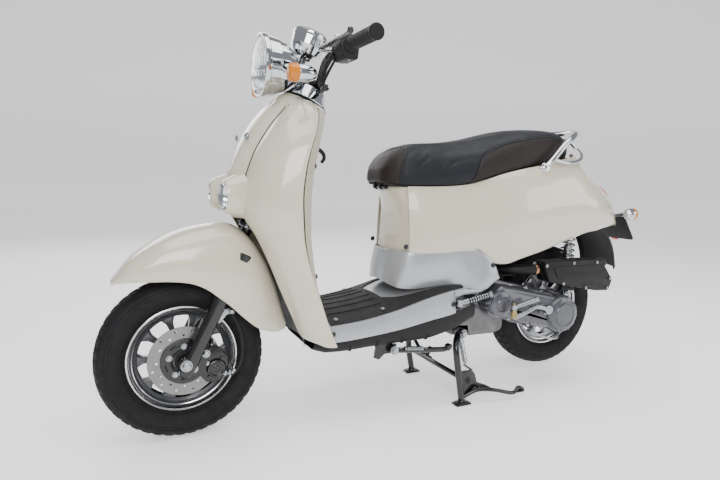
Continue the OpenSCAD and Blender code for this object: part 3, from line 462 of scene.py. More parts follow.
def dirtied(tree, where, colour, dark, size):
    """A colour with broad, faint variation."""
    broad = spread(tree, noise(tree, where, size), 0.0, 1.0)
    return blend_colour(tree, broad, colour, tuple(c * dark for c in colour))


def surface(name, colour, rough, metal=0.0, coat=0.0, rough_spread=0.06, dark=0.9, size=60.0,
            grain=0.0, grain_size=1.0, sheen=0.0, pattern=None, specular=0.5, coat_rough=0.04):
    """A finish with varied colour and gloss, and a grain of the given depth and size in millimetres."""
    mat = bpy.data.materials.new(name)
    mat.use_nodes = True
    tree = mat.node_tree
    shader = tree.nodes["Principled BSDF"]
    where = tree.nodes.new("ShaderNodeTexCoord").outputs["Object"]
    shader.inputs["Metallic"].default_value = metal
    shader.inputs["Specular IOR Level"].default_value = specular
    shader.inputs["Coat Weight"].default_value = coat
    shader.inputs["Coat Roughness"].default_value = coat_rough
    shader.inputs["Sheen Weight"].default_value = sheen
    tree.links.new(dirtied(tree, where, colour, dark, size), shader.inputs["Base Color"])
    gloss = spread(tree, noise(tree, where, size * 0.4), max(rough - rough_spread, 0.02),
                   rough + rough_spread)
    tree.links.new(gloss, shader.inputs["Roughness"])
    if grain:
        normal = bumped(tree, noise(tree, where, grain_size, 2.0), 0.6, grain)
        tree.links.new(normal, shader.inputs["Normal"])
    if pattern:
        pattern(tree, where, shader)
    return mat


def flakes(tree, where, shader):
    """Metal flakes under lacquer."""
    cells = tree.nodes.new("ShaderNodeTexVoronoi")
    cells.inputs["Scale"].default_value = 1600
    tree.links.new(where, cells.inputs["Vector"])
    tree.links.new(bumped(tree, cells.outputs["Color"], 0.12, 0.15), shader.inputs["Normal"])


def orange_peel(tree, where, shader):
    """The faint ripple of moulded and lacquered panels."""
    wide = bumped(tree, noise(tree, where, 22, 1.0), 0.10, 0.25)
    tree.links.new(bumped(tree, noise(tree, where, 3.5, 1.0), 0.08, 0.06, wide), shader.inputs["Normal"])


def leather_grain(tree, where, shader):
    """Pebbled vinyl: small cells with creases between them, and a finer pitting."""
    cells = tree.nodes.new("ShaderNodeTexVoronoi")
    cells.feature = "DISTANCE_TO_EDGE"
    cells.inputs["Scale"].default_value = 520
    tree.links.new(where, cells.inputs["Vector"])
    crease = spread(tree, cells.outputs["Distance"], 0.0, 1.0, 0.0, 0.22)
    fine = bumped(tree, noise(tree, where, 0.7, 2.0), 0.25, 0.12)
    tree.links.new(bumped(tree, crease, 0.45, 0.22, fine), shader.inputs["Normal"])


def mat_ribs(tree, where, shader):
    """Rubber matting with a fine diamond pattern moulded into it."""
    waves = []
    for x, y in ((1, 1), (1, -1)):
        aim = tree.nodes.new("ShaderNodeVectorMath")
        aim.operation = "DOT_PRODUCT"
        aim.inputs[1].default_value = (x * 900.0, y * 900.0, 0)
        tree.links.new(where, aim.inputs[0])
        wave = tree.nodes.new("ShaderNodeMath")
        wave.operation = "SINE"
        tree.links.new(aim.outputs["Value"], wave.inputs[0])
        waves.append(wave.outputs[0])
    top = tree.nodes.new("ShaderNodeMath")
    top.operation = "MAXIMUM"
    tree.links.new(waves[0], top.inputs[0])
    tree.links.new(waves[1], top.inputs[1])
    tree.links.new(bumped(tree, top.outputs[0], 0.7, 0.5), shader.inputs["Normal"])


def cast_skin(tree, where, shader):
    """Rough cast metal: a lumpy skin with a finer roughness over it."""
    lumps = bumped(tree, noise(tree, where, 9, 2.0), 0.25, 0.5)
    tree.links.new(bumped(tree, noise(tree, where, 1.1, 3.0), 0.45, 0.25, lumps), shader.inputs["Normal"])


def crinkled_film(tree, where, shader):
    """Glossy lacquer that still wears a crinkled clear film."""
    aim = tree.nodes.new("ShaderNodeMapping")
    aim.inputs["Scale"].default_value = (1.0, 0.4, 2.2)
    aim.inputs["Rotation"].default_value = (0, 0.5, 0)
    tree.links.new(where, aim.inputs["Vector"])
    folds = tree.nodes.new("ShaderNodeTexVoronoi")
    folds.inputs["Scale"].default_value = 34
    folds.inputs["Randomness"].default_value = 1.0
    tree.links.new(aim.outputs["Vector"], folds.inputs["Vector"])
    soft = bumped(tree, noise(tree, aim.outputs["Vector"], 26, 2.0), 0.35, 0.7)
    tree.links.new(bumped(tree, folds.outputs["Distance"], 0.2, 0.5, soft), shader.inputs["Normal"])


def turned_metal(centre):
    """Fine circular lines left by turning a face about the wheel's axle."""
    def pattern(tree, where, shader):
        shift = tree.nodes.new("ShaderNodeVectorMath")
        shift.operation = "SUBTRACT"
        shift.inputs[1].default_value = tuple(metres(centre)[0])
        tree.links.new(where, shift.inputs[0])
        flat = tree.nodes.new("ShaderNodeVectorMath")
        flat.operation = "MULTIPLY"
        flat.inputs[1].default_value = (1, 0, 1)
        tree.links.new(shift.outputs[0], flat.inputs[0])
        reach = tree.nodes.new("ShaderNodeVectorMath")
        reach.operation = "LENGTH"
        tree.links.new(flat.outputs[0], reach.inputs[0])
        lines = tree.nodes.new("ShaderNodeTexNoise")
        lines.noise_dimensions = "1D"
        lines.inputs["Scale"].default_value = 1400
        tree.links.new(reach.outputs["Value"], lines.inputs["W"])
        tree.links.new(bumped(tree, lines.outputs["Fac"], 0.3, 0.08), shader.inputs["Normal"])
    return pattern


def glass(name, colour, rough=0.02, ribs=0.0, tint=1.0):
    """Clear or coloured lamp glass, with fluting of the given depth."""
    mat = surface(name, colour, rough, rough_spread=0.01, dark=0.95)
    shader = mat.node_tree.nodes["Principled BSDF"]
    shader.inputs["Transmission Weight"].default_value = tint
    shader.inputs["IOR"].default_value = 1.45
    if ribs:
        tree = mat.node_tree
        where = tree.nodes.new("ShaderNodeTexCoord").outputs["Object"]
        wave = tree.nodes.new("ShaderNodeTexWave")
        wave.bands_direction = "Y"
        wave.inputs["Scale"].default_value = 36
        wave.inputs["Distortion"].default_value = 0.3
        tree.links.new(where, wave.inputs["Vector"])
        tree.links.new(bumped(tree, wave.outputs["Fac"], 0.6, ribs), shader.inputs["Normal"])
    return mat


CREAM = surface("cream_paint", (0.60, 0.555, 0.43), 0.2, coat=0.9, rough_spread=0.03, dark=0.97, size=220,
                pattern=orange_peel)
# Rider's side of the shield: the cream paint's colour darkened by about a sixth as painted shade, on a
# duller, grained finish of its own
CREAM_INNER_SHADED = surface("cream_moulding_shaded", (0.50, 0.465, 0.36), 0.42, dark=0.95, size=150, grain=0.05,
                      grain_size=1.5)
SILVER = surface("silver_paint", (0.42, 0.435, 0.465), 0.32, metal=0.55, coat=0.5, dark=0.94, size=160,
                 pattern=flakes)
MAT_RUBBER = surface("mat_rubber", (0.016, 0.0155, 0.015), 0.66, dark=0.75, size=90, pattern=mat_ribs,
                     specular=0.25)
CHROME = surface("chrome", (0.60, 0.615, 0.635), 0.06, metal=1.0, rough_spread=0.025, dark=0.96, size=45)
BLACK_PAINT = surface("black_paint", (0.005, 0.005, 0.006), 0.26, coat=0.25, dark=0.7, size=60, grain=0.04,
                      grain_size=2.5)
BLACK_PLASTIC = surface("black_plastic", (0.006, 0.0062, 0.007), 0.5, dark=0.75, size=70, grain=0.10,
                        grain_size=1.1, specular=0.3)
RUBBER = surface("black_rubber", (0.006, 0.006, 0.0065), 0.55, dark=0.7, size=30, grain=0.06,
                 grain_size=1.6, specular=0.3)
TYRE = surface("tyre_rubber", (0.0065, 0.0067, 0.0075), 0.68, rough_spread=0.1, dark=0.72, size=45,
               grain=0.12, grain_size=1.2, specular=0.25)
SEAT_BLUE = surface("seat_vinyl_dark_blue", (0.0048, 0.0062, 0.0095), 0.5, dark=0.82, size=120,
                    pattern=leather_grain, specular=0.28)
SEAT_BROWN = surface("seat_vinyl_brown", (0.0135, 0.0088, 0.0082), 0.55, dark=0.85, size=120,
                     pattern=leather_grain, specular=0.28)
PIPING = surface("seat_piping", (0.004, 0.0045, 0.0055), 0.5, dark=0.8, size=20, grain=0.05, grain_size=0.9)
THREAD = surface("seat_thread", (0.055, 0.05, 0.05), 0.7, dark=0.8, size=8, grain=0.05, grain_size=0.5)
CAST = surface("cast_alloy", (0.21, 0.21, 0.215), 0.5, metal=0.8, rough_spread=0.12, dark=0.62, size=35,
               pattern=cast_skin)
COVER = surface("filmed_cover", (0.085, 0.086, 0.10), 0.30, metal=0.35, coat=0.5, dark=0.8, size=80,
                pattern=crinkled_film)
RIM_GREY = surface("grey_rim_paint", (0.075, 0.077, 0.083), 0.36, metal=0.5, coat=0.35, dark=0.85, size=50,
                   grain=0.03, grain_size=1.5)
RIM_SILVER = surface("silver_rim_paint", (0.30, 0.305, 0.32), 0.34, metal=0.75, coat=0.3, dark=0.85,
                     size=50, grain=0.03, grain_size=1.5)
RIM_LIP = surface("polished_rim_lip", (0.72, 0.72, 0.73), 0.16, metal=1.0, dark=0.9, size=60,
                  pattern=turned_metal(FRONT))
DISC = surface("brake_disc_steel", (0.25, 0.245, 0.24), 0.36, metal=1.0, dark=0.85, size=30,
               pattern=turned_metal(FRONT))
ZINC = surface("zinc_plate", (0.40, 0.42, 0.435), 0.30, metal=1.0, rough_spread=0.1, dark=0.8, size=12,
               grain=0.04, grain_size=1.0)
BRASS = surface("yellow_zinc", (0.38, 0.29, 0.13), 0.3, metal=1.0, dark=0.75, size=10, grain=0.04,
                grain_size=1.0)
COPPER = surface("copper_clamp", (0.46, 0.25, 0.14), 0.3, metal=1.0, dark=0.75, size=12, grain=0.04,
                 grain_size=1.0)
AMBER = glass("amber_lens", (1.0, 0.36, 0.02), 0.08, ribs=0.35, tint=0.55)
RED = glass("red_lens", (0.75, 0.02, 0.015), 0.08, ribs=0.35, tint=0.4)
CLEAR = glass("clear_lens", (0.95, 0.97, 0.98), 0.02, ribs=0.5)
GAUGE = surface("gauge_face", (0.02, 0.02, 0.022), 0.5, dark=0.8, size=15)
MARKS = surface("gauge_marks", (0.8, 0.8, 0.78), 0.5, dark=0.95, size=10)
RED_BUTTON = surface("red_button", (0.55, 0.03, 0.03), 0.3, coat=0.2, dark=0.85, size=10)
YELLOW_BUTTON = surface("yellow_button", (0.55, 0.42, 0.05), 0.3, coat=0.2, dark=0.85, size=10)
LAMP_MIRROR = surface("lamp_reflector", (0.85, 0.86, 0.88), 0.08, metal=1.0, dark=0.9, size=14, grain=0.2,
                      grain_size=9)
SPRING_STEEL = surface("spring_coating", (0.55, 0.56, 0.58), 0.25, metal=1.0, dark=0.85, size=20,
                       grain=0.03, grain_size=2)
STUDIO_FLOOR = surface("studio_floor", (0.86, 0.86, 0.86), 0.55, dark=0.985, size=900, rough_spread=0.05,
                       specular=0.2)
STUDIO_FLOOR.node_tree.nodes["Principled BSDF"].inputs["Emission Color"].default_value = (1, 1, 1, 1)
STUDIO_FLOOR.node_tree.nodes["Principled BSDF"].inputs["Emission Strength"].default_value = 0.55


# ---------- front bodywork ----------

# Front edge of the wings, where they meet the centre cowl: z, x, y
SEAM = [
    (236, 884, 150), (262, 934, 132), (315, 958, 120), (387, 988, 112), (463, 1018, 104), (525, 1046, 92),
    (572, 1072, 78), (601, 1079, 75), (652, 1069, 75), (718, 1048, 75), (787, 1009, 75), (854, 956, 75),
]
# Rear edge of the wings: z, x, half width
WING_REAR = [
    (236, 858, 174), (307, 889, 182), (360, 908, 186), (442, 938, 190), (531, 957, 190), (618, 961, 190),
    (689, 953, 188), (746, 936, 180), (790, 917, 164), (826, 905, 140), (850, 900, 112),
]


def wing_point(z, v):
    """Wing surface at height z, from the front seam (v = 0) to the rear edge (v = 1)."""
    a = np.array([smooth(SEAM, 1, z), smooth(SEAM, 2, z), z])
    c = np.array([smooth(WING_REAR, 1, z), smooth(WING_REAR, 2, z), z])
    across = np.array([c[1] - a[1], a[0] - c[0], 0.0])
    swell = 0.17 * np.linalg.norm(c - a)
    b = (a + c) / 2 + swell * across / np.linalg.norm(across)
    return through3(a, b, c, v)


def wings():
    heights = np.linspace(236, 850, 90)
    shape = Shape()
    grid = [[wing_point(z, v) for v in np.linspace(0, 1, 26)] for z in heights]
    # The rear edge rolls round towards the rider before it stops
    for row in grid:
        last, before = row[-1], row[-2]
        way = (last - before) / np.linalg.norm(last - before)
        inner = np.array([-0.35, -0.94, 0.0])
        row.append(last + 5 * way + 1.5 * inner)
        row.append(last + 6.5 * way + 6 * inner)
        row.append(last + 4.5 * way + 10 * inner)
    shape.sheet(grid)
    shape.mirrored()
    shape.done("leg_shield_wings", "chassis", CREAM, "cream_paint", "leg_shield", shell=3,
               inside=(900, 0, 520), sharp=60)
    seam = [(smooth(SEAM, 1, z) + 0.4, smooth(SEAM, 2, z) - 0.8, z) for z in np.linspace(576, 846, 28)]
    gasket = Shape().tube(seam, 1.7, 0, 8, bend=False).mirrored()
    gasket.done("cowl_seam_gaskets", "chassis", BLACK_PLASTIC, "black_plastic")


# Middle of the cowl: z, x
COWL = [
    (566, 1090), (578, 1098), (620, 1101), (667, 1097), (701, 1086), (732, 1074), (763, 1059), (795, 1040),
    (826, 1017), (850, 994), (862, 978),
]
COWL_HALF = 73.5


def cowl_point(z, u):
    front = smooth(COWL, 1, z)
    side = smooth(SEAM, 1, min(z, 854)) - 2
    return np.array([side + (front - side) * (1 - abs(u) ** 2.4), u * COWL_HALF, z])


def cowl():
    shape = Shape()
    heights = np.linspace(566, 862, 60)
    shape.sheet([[cowl_point(z, u) for u in np.linspace(-1, 1, 41)] for z in heights])
    # The front edge of each side turns in, so that a dark seam shows against the wings
    shape.sheet([[cowl_point(z, 1) + [-k * 2.5, -k * 1.2, 0] for k in range(4)] for z in heights])
    shape.sheet([[cowl_point(z, -1) + [-k * 2.5, k * 1.2, 0] for k in range(4)] for z in heights])
    shape.done("centre_cowl_panel", "chassis", CREAM, "cream_paint", "centre_cowl", shell=2.5,
               inside=(950, 0, 700), sharp=50)


def top_deck():
    """The shoulder that closes the shield round the foot of the chrome collar."""
    centre = steer_at(731, 9)
    outer = [cowl_point(861, u) for u in np.linspace(0, 1, 9)]
    outer += [wing_point(850, v) for v in np.linspace(0.05, 1, 9)]
    outer += [np.array([898, 104, 849]), np.array([884, 100, 846])]
    outer += [inner_point(842, u) for u in np.linspace(0.9, 0, 9)]
    outer = outer + [p * [1, -1, 1] for p in outer[-2:0:-1]]
    loop = np.array(outer)
    angles = np.arctan2(loop[:, 1], loop[:, 0] - centre[0])
    order = np.argsort(angles)
    angles, loop = angles[order], loop[order]
    rings = []
    turns = np.linspace(-math.pi, math.pi, 96, endpoint=False)
    edge = np.stack([
        np.interp(turns, angles, loop[:, k], period=2 * math.pi) for k in range(3)
    ], 1)
    for share in np.linspace(0, 1, 10):
        ring = []
        for point, turn in zip(edge, turns):
            flat = np.array([math.cos(turn), math.sin(turn), 0.0])
            radial = flat - UP * (flat @ UP)
            inner = centre + radial / np.linalg.norm(radial) * 59 + UP * 1.5
            bulge = 7 * math.sin(math.pi * share) * (1 - 0.5 * share)
            ring.append(point + (inner - point) * share + np.array([0, 0, bulge]))
        rings.append(ring)
    shape = Shape().rings(rings, cap_start=False, cap_end=False)
    shape.done("shield_top_deck", "chassis", CREAM, "cream_paint", shell=2.5, inside=(900, 0, 700),
               sharp=60)


def shield_lamps():
    """A cream housing on each side of the cowl's foot, with a chrome lined lamp looking forward."""
    housing, lamp = Shape(), Shape()
    profile = [(40, -22), (37, -6), (32, 14), (28, 26), (25.5, 30), (23.5, 30.5), (22.5, 28)]
    centre = np.array([1092.0, 66.0, 622.0])
    way = np.array([0.95, 0.30, -0.03])
    way = way / np.linalg.norm(way)
    tall = np.array([1.0, 1.0, 1.42])

    def oval(shape, prof, mat):
        part = Shape().lathe(prof, (0, 0, 0), way, sides=56)
        shape.add(np.vstack(part.points) * tall + centre, part.faces, mat)

    oval(housing, fillet(profile, 3), 0)
    oval(lamp, [(22.4, 26), (20, 14), (12, 4), (3, 1), (0, 1)], 0)
    oval(lamp, fillet([(23.2, 27), (23.2, 31.5), (18, 35.5), (9, 37.5), (0, 38)], 2), 1)
    oval(lamp, [(0, 4), (4, 5), (5, 12), (3.5, 18), (0, 20)], 2)
    housing.mirrored().done("shield_lamp_housings", "chassis", CREAM, "cream_paint", sharp=50)
    lamp.mirrored().done("shield_lamp_glass", "chassis", [LAMP_MIRROR, CLEAR, CLEAR], "lamp_plastic",
                         "shield_lamps", sharp=50)


# Rider's side of the shield: z, x in the middle, x at the edge, half width
INNER = [
    (300, 868, 878, 176), (360, 872, 900, 178), (430, 878, 922, 182), (530, 884, 942, 183),
    (618, 882, 946, 183),
    (689, 874, 938, 180), (746, 862, 922, 172), (790, 852, 903, 156), (822, 842, 892, 134),
    (842, 836, 886, 108),
]


def inner_point(z, u):
    mid, edge, half = (smooth(INNER, k, z) for k in (1, 2, 3))
    return np.array([mid + (edge - mid) * abs(u) ** 2.2, u * half, z])


def inner_shield():
    shape = Shape()
    shape.sheet([[inner_point(z, u) for u in np.linspace(-1, 1, 45)] for z in np.linspace(300, 842, 70)])
    # The panel and its glove box lid wear the darker cream, which is painted shade on the cream paint
    shape.done("inner_shield_panel", "chassis", CREAM_INNER_SHADED, "cream_paint", "inner_shield", shell=3,
               inside=(960, 0, 560), sharp=60)
    trim = Shape()
    trim.tube([(866, 0, 752), (846, 0, 748), (830, 0, 736), (827, 0, 722), (834, 0, 712)],
              [6, 6, 5.5, 5, 4.5], 0, 14)
    trim.prism([(-11, 758), (11, 758), (14, 748), (9, 732), (-9, 732), (-14, 748)], 868, 855, 0, 2, 4,
               plane="yz")
    trim.lathe([(16, 0), (16, 6), (13, 8), (0, 8)], (864, -62, 770), (-1, 0, 0), 1, 36, 1.5)
    # Lid of the small glove box, with its finger notch
    lid = [(-150, 640), (-34, 640), (-34, 545), (-150, 545)]
    trim.prism(lid, 881, 874, 2, 3, 14, plane="yz")
    trim.prism([(-106, 632), (-78, 632), (-78, 622), (-106, 622)], 875, 871, 0, 1.5, 4, plane="yz")
    for y, z in ((-120, 700), (120, 700), (-140, 420), (140, 420)):
        at = inner_point(z, y / 180)
        trim.bolt(at + [-0.5, 0, 0], (-1, 0, 0), 5, 1, "pan")
    trim.done("inner_shield_fittings", "chassis", [BLACK_PLASTIC, ZINC, CREAM_INNER_SHADED], "black_plastic",
              sharp=40)


def collar():
    foot = steer_at(738, 4)
    shape = Shape()
    shape.lathe([(54, 0.5), (58, 0.8), (58.6, 4), (56, 9), (51, 18), (45.6, 29), (43.4, 36), (42.6, 38.4),
                 (41, 38.6), (40.2, 37), (42, 30), (48, 18), (53, 6)], foot, UP, 0, 72, 1.0)
    shape.lathe([(55, -3.5), (60.5, -3.5), (62, -1.5), (61.5, 0.8), (59.5, 1.6), (55, 1.4)], foot, UP, 1,
                72, 0.8)
    shape.done("stem_collar_chrome", "chassis", [CHROME, RUBBER], "bright_chrome", "stem_collar")


# Fender: x and z of its crown, x and z of its edge, half width, roundness
FENDER = [
    (1377, 414, 1375, 408, 22, 0.8), (1360, 436, 1356, 416, 48, 0.8), (1334, 468, 1326, 420, 66, 0.8),
    (1298, 496, 1288, 420, 78, 0.8), (1258, 520, 1244, 419, 88, 0.8), (1212, 538, 1200, 412, 93, 0.8),
    (1164, 548, 1166, 396, 95, 0.76), (1124, 552, 1136, 372, 96, 0.65), (1090, 548, 1106, 346, 97, 0.52),
    (1050, 518, 1076, 316, 97, 0.45), (1012, 468, 1044, 288, 90, 0.5), (984, 412, 1014, 272, 80, 0.6),
    (964, 350, 986, 264, 70, 0.7), (952, 296, 958, 268, 62, 0.8),
]


def fender():
    rows = catmull(FENDER, 6)
    grid = []
    for x0, z0, x1, z1, half, round_ in rows:
        row = []
        for u in np.linspace(-1, 1, 49):
            a = math.radians(90 * u * 0.999)
            w, y = math.cos(a) ** 0.62, math.copysign(abs(math.sin(a)) ** round_, u)
            row.append([x1 + (x0 - x1) * w, half * y, z1 + (z0 - z1) * w])
        # The edge is rolled inwards
        for end, way in ((0, 1), (-1, -1)):
            x, y, z = row[end]
            lip = [[x, y + way * 1.5, z - 2.5], [x, y + way * 4.5, z - 3.5], [x, y + way * 7, z - 2]]
            row = lip[::-1] + row if end == 0 else row + lip
        grid.append(row)
    shape = Shape().sheet(grid)
    shape.done("front_fender_panel", "steering", CREAM, "cream_paint", "front_fender", shell=2.5,
               inside=(1160, 0, 330), sharp=60)
    bracket = Shape()
    bracket.tube([steer_at(BRIDGE_S + 8, 0, 40), (1069, 40, 505), (1072, 40, 528)], 7, 0, 12)
    bracket.mirrored().done("fender_brackets", "steering", BLACK_PAINT, "frame_black")


wings()
cowl()
top_deck()
shield_lamps()
inner_shield()
collar()
fender()


# ---------- floor and belly ----------

# Floor: x, z of its edge. Side strip: x, z of its lower edge. Mat tongue: x, y of its inner edge
FLOOR_EDGE = [(430, 360), (448, 358), (504, 350), (571, 336), (678, 309), (786, 292), (872, 286)]
STRIP = [(430, 312), (480, 290), (560, 277), (660, 261), (752, 252), (839, 247), (872, 247)]
TONGUE = [(430, 138), (452, 136), (500, 122), (550, 115), (600, 108), (640, 92), (672, 66)]
# Belly: x, z of the bottom, z of the top. Wheel liner: z, x, half width
BELLY = [
    (396, 262, 306), (470, 232, 290), (560, 214, 274), (722, 212, 250), (815, 209, 244), (887, 213, 238),
    (929, 223, 236), (952, 246, 262),
]
LINER = [(262, 899, 108), (300, 905, 108), (360, 918, 104), (430, 940, 98), (500, 968, 88), (556, 996, 76)]


def floor_point(x, u, rise=0.0):
    return np.array([x, u * FLOOR_HALF, smooth(FLOOR_EDGE, 1, x) + 22 * (1 - u * u) + rise])


# Rear end of each side strip, up to the seat foot: x, z of its top and bottom edges
TAIL = [(398, 352, 341), (420, 354, 341), (450, 357, 340), (482, 355, 330)]


def floor():
    board = Shape()
    board.sheet([[floor_point(x, u) for u in np.linspace(-1, 1, 31)] for x in np.linspace(430, 870, 60)])
    board.done("floor_board_panel", "chassis", SILVER, "silver_paint", "floor_board", shell=3,
               inside=(650, 0, 200))
    strip = Shape()
    grid = []
    for x in np.linspace(478, 870, 60):
        low = smooth(STRIP, 1, x)
        high = smooth(FLOOR_EDGE, 1, x) - 0.5
        row = [[x, FLOOR_HALF - 3 + 3 * v, high + 1.5 * math.sin(v * 1.5)] for v in np.linspace(0, 1, 4)]
        row += [[x, FLOOR_HALF + 9 * v - 3.5 * v * v, high + (low - high) * v]
                for v in np.linspace(0.1, 1, 12)]
        row += [[x, FLOOR_HALF + 4, low - 1.5], [x, FLOOR_HALF, low - 1]]
        grid.append(row)
    strip.sheet(grid).mirrored()
    tail = [[x, 160.5 + 2.5 * math.sin(math.pi * v), smooth(TAIL, 1, x) * (1 - v) + smooth(TAIL, 2, x) * v]
            for x in np.linspace(398, 482, 18) for v in np.linspace(0, 1, 6)]
    join = Shape().sheet(np.array(tail).reshape(18, 6, 3)).mirrored()
    join.done("floor_strip_tails", "chassis", SILVER, "silver_paint", shell=2.0, inside=(440, 0, 340),
              sharp=60)
    strip.done("floor_side_strips", "chassis", SILVER, "silver_paint", shell=2.5, inside=(650, 0, 280),
               sharp=60)
    carpet = Shape()
    carpet.sheet([[floor_point(x, u * 0.97, 3.6) for u in np.linspace(-1, 1, 31)]
                  for x in np.linspace(672, 862, 30)])
    carpet.done("floor_mat_front", "chassis", MAT_RUBBER, "mat_rubber", "floor_mat", shell=3,
                inside=(650, 0, 200), rim=1.0)
    tongue = Shape()
    grid = []
    for x in np.linspace(446, 672, 40):
        inner = smooth(TONGUE, 1, x) / FLOOR_HALF
        grid.append([floor_point(x, inner + (0.97 - inner) * v, 3.6) for v in np.linspace(0, 1, 9)])
    tongue.sheet(grid).mirrored()
    tongue.done("floor_mat_tongues", "chassis", MAT_RUBBER, "mat_rubber", shell=3, inside=(560, 0, 200),
                rim=1.0)
    lines = Shape()
    for share in (-0.62, -0.38, -0.14, 0.14, 0.38, 0.62):
        lines.tube([floor_point(x, share, 4.2) for x in np.linspace(690, 848, 10)], 1.6, 0, 8)
    lines.done("floor_mat_ribs", "chassis", MAT_RUBBER, "mat_rubber")
    screws = Shape()
    for x, y in ((700, 132), (840, 132), (700, -132), (840, -132)):
        screws.bolt(floor_point(x, y / FLOOR_HALF, 3.5), (0, 0, 1), 5, 0, "pan")
    screws.done("floor_screws", "chassis", ZINC, "zinc_steel")


def belly_ring(x):
    low, high = smooth(BELLY, 1, x), smooth(BELLY, 2, x)
    w = 148 - 36 * np.clip((x - 872) / 30, 0, 1)
    half = [(x, w, high), (x, w, low + 16), (x, w - 5, low + 6), (x, w - 17, low), (x, w * 0.5, low - 1)]
    return [np.array((p[0], -p[1], p[2])) for p in half] + [np.array((x, 0, low - 1))] + [
        np.array(p) for p in half[::-1]]


def belly():
    shape = Shape()
    grid = [belly_ring(x) for x in np.linspace(398, 896, 60)]
    shape.sheet(grid)
    shape.done("belly_panel", "chassis", BLACK_PLASTIC, "black_plastic", "under_panels", shell=2.5,
               inside=(650, 0, 260), sharp=55)
    liner = Shape()
    rows = []
    for z in np.linspace(230, 560, 40):
        zz = max(z, 262)
        half = smooth(LINER, 2, zz)
        rows.append([[smooth(LINER, 1, zz) + 22 * u * u, u * half, z] for u in np.linspace(-1, 1, 21)])
    liner.sheet(rows)
    liner.done("front_wheel_liner", "chassis", BLACK_PLASTIC, "black_plastic", shell=2.5,
               inside=(800, 0, 420))
    ribs = Shape()
    for x in (560, 640, 720, 800):
        ribs.tube([belly_ring(x)[k] for k in (9, 8, 7, 6, 5, 4, 3, 2, 1)], 2.2, 0, 8)
    ribs.done("belly_ribs", "chassis", BLACK_PLASTIC, "black_plastic")


# ---------- rear bodywork ----------

# Side panel stations: x, z and y of the top edge, of the middle and of the bottom edge
SIDES = [
    (-278, 552, 1, 536, 34, 518, 62), (-262, 590, 1, 566, 50, 523, 78), (-240, 632, 1, 592, 70, 526, 92),
    (-207, 663, 1, 606, 94, 524, 104), (-153, 705, 1, 618, 122, 519, 118),
    (-111, 739, 1, 628, 138, 512, 127),
    (-75, 762, 20, 630, 148, 509, 132), (-45, 766, 64, 628, 155, 505, 136),
    (-10, 752, 96, 624, 161, 497, 140),
    (60, 740, 118, 612, 168, 481, 146), (140, 722, 128, 600, 172, 458, 150),
    (220, 708, 128, 588, 172, 440, 152),
    (300, 690, 124, 580, 164, 424, 154), (345, 676, 120, 574, 156, 430, 152),
    (400, 660, 114, 568, 142, 473, 142),
    (480, 652, 106, 562, 126, 463, 130), (560, 650, 96, 562, 112, 461, 117),
    (604, 650, 84, 562, 97, 465, 104),
]
# Body under the seat nose: z, x of its tip, half width
NOSE = [(452, 624, 98), (467, 622, 97), (510, 614, 92), (566, 616, 86), (610, 628, 82), (636, 643, 79.5)]


def side_point(x, v):
    z, y = (
        through3(*(smooth(SIDES, k, x) for k in ks), v) for ks in ((1, 3, 5), (2, 4, 6))
    )
    return np.array([x, y, z])


def side_panels():
    stations = np.concatenate([np.linspace(-278, -60, 34), np.linspace(-52, 604, 80)])
    shape = Shape()
    grid = []
    for x in stations:
        row = [side_point(x, v) for v in np.linspace(0, 1, 30)]
        low = row[-1]
        row += [low + [0, -2.0, -2.5], low + [0, -7, -3.5]]
        grid.append(row)
    shape.sheet(grid).mirrored()
    shape.done("rear_side_panels", "chassis", CREAM, "cream_paint", "side_panels", shell=3,
               inside=(150, 0, 560), sharp=60)
    nose = Shape()
    rows = []
    for z in np.linspace(455, 648, 40):
        tip, half = smooth(NOSE, 1, z), smooth(NOSE, 2, z)
        rows.append([[tip - (tip - 600) * abs(u) ** 2.6, u * (half + 1), z] for u in np.linspace(-1, 1, 41)])
    nose.sheet(rows)
    nose.done("under_seat_nose", "chassis", CREAM, "cream_paint", "under_seat_panel", shell=3,
              inside=(560, 0, 560), sharp=60)


# Silver cover round the foot of the seat body: u, then x, y, z of its lower edge and of its upper edge
COVER_LINE = [
    (0, 650, 0, 374, 636, 0, 463), (1, 651, 34, 372, 634, 38, 464), (2, 645, 66, 366, 626, 70, 465),
    (3, 628, 92, 360, 606, 103, 463), (4, 590, 106, 357, 566, 116, 459), (5, 530, 113, 361, 500, 127, 460),
    (6, 480, 121, 365, 440, 137, 463), (7, 440, 140, 364, 396, 147, 465), (8, 404, 160, 345, 362, 157, 443),
    (9, 372, 163, 352, 338, 160, 418), (10, 330, 160, 377, 324, 160, 388),
]


def lower_cover():
    rows = catmull([r[1:] for r in COVER_LINE], 7)
    grid = []
    for side in (-1, 1):
        for row in (rows[::-1] if side < 0 else rows[1:]):
            low, high = row[:3] * [1, side, 1], row[3:] * [1, side, 1]
            out = np.array([0, side * min(1.0, abs(row[1]) / 40), 0])
            line = [low + (high - low) * v + out * 5 * math.sin(math.pi * v) for v in np.linspace(0, 1, 16)]
            line += [high + [0, 0, 1.5] - out * 1.5, high + [0, 0, 1.0] - out * 6]
            grid.append(line)
    shape = Shape().sheet(grid)
    shape.done("silver_lower_cover", "chassis", SILVER, "silver_paint", "lower_cover", shell=2.5,
               inside=(480, 0, 400), sharp=60)


def panel_screws():
    shape = Shape()
    for x, y, z in ((616, 104, 480), (350, 162, 422), (486, 164, 316), (860, 163, 268)):
        shape.bolt((x, y, z), (0, 1, 0), 5.2, 0, "pan")
    shape.bolt((1056, 54, 770), (0.80, 0.55, 0.05), 6, 1, "pan")
    shape.mirrored()
    shape.done("panel_screw_heads", "chassis", [BLACK_PAINT, ZINC], "zinc_steel", "panel_screws")


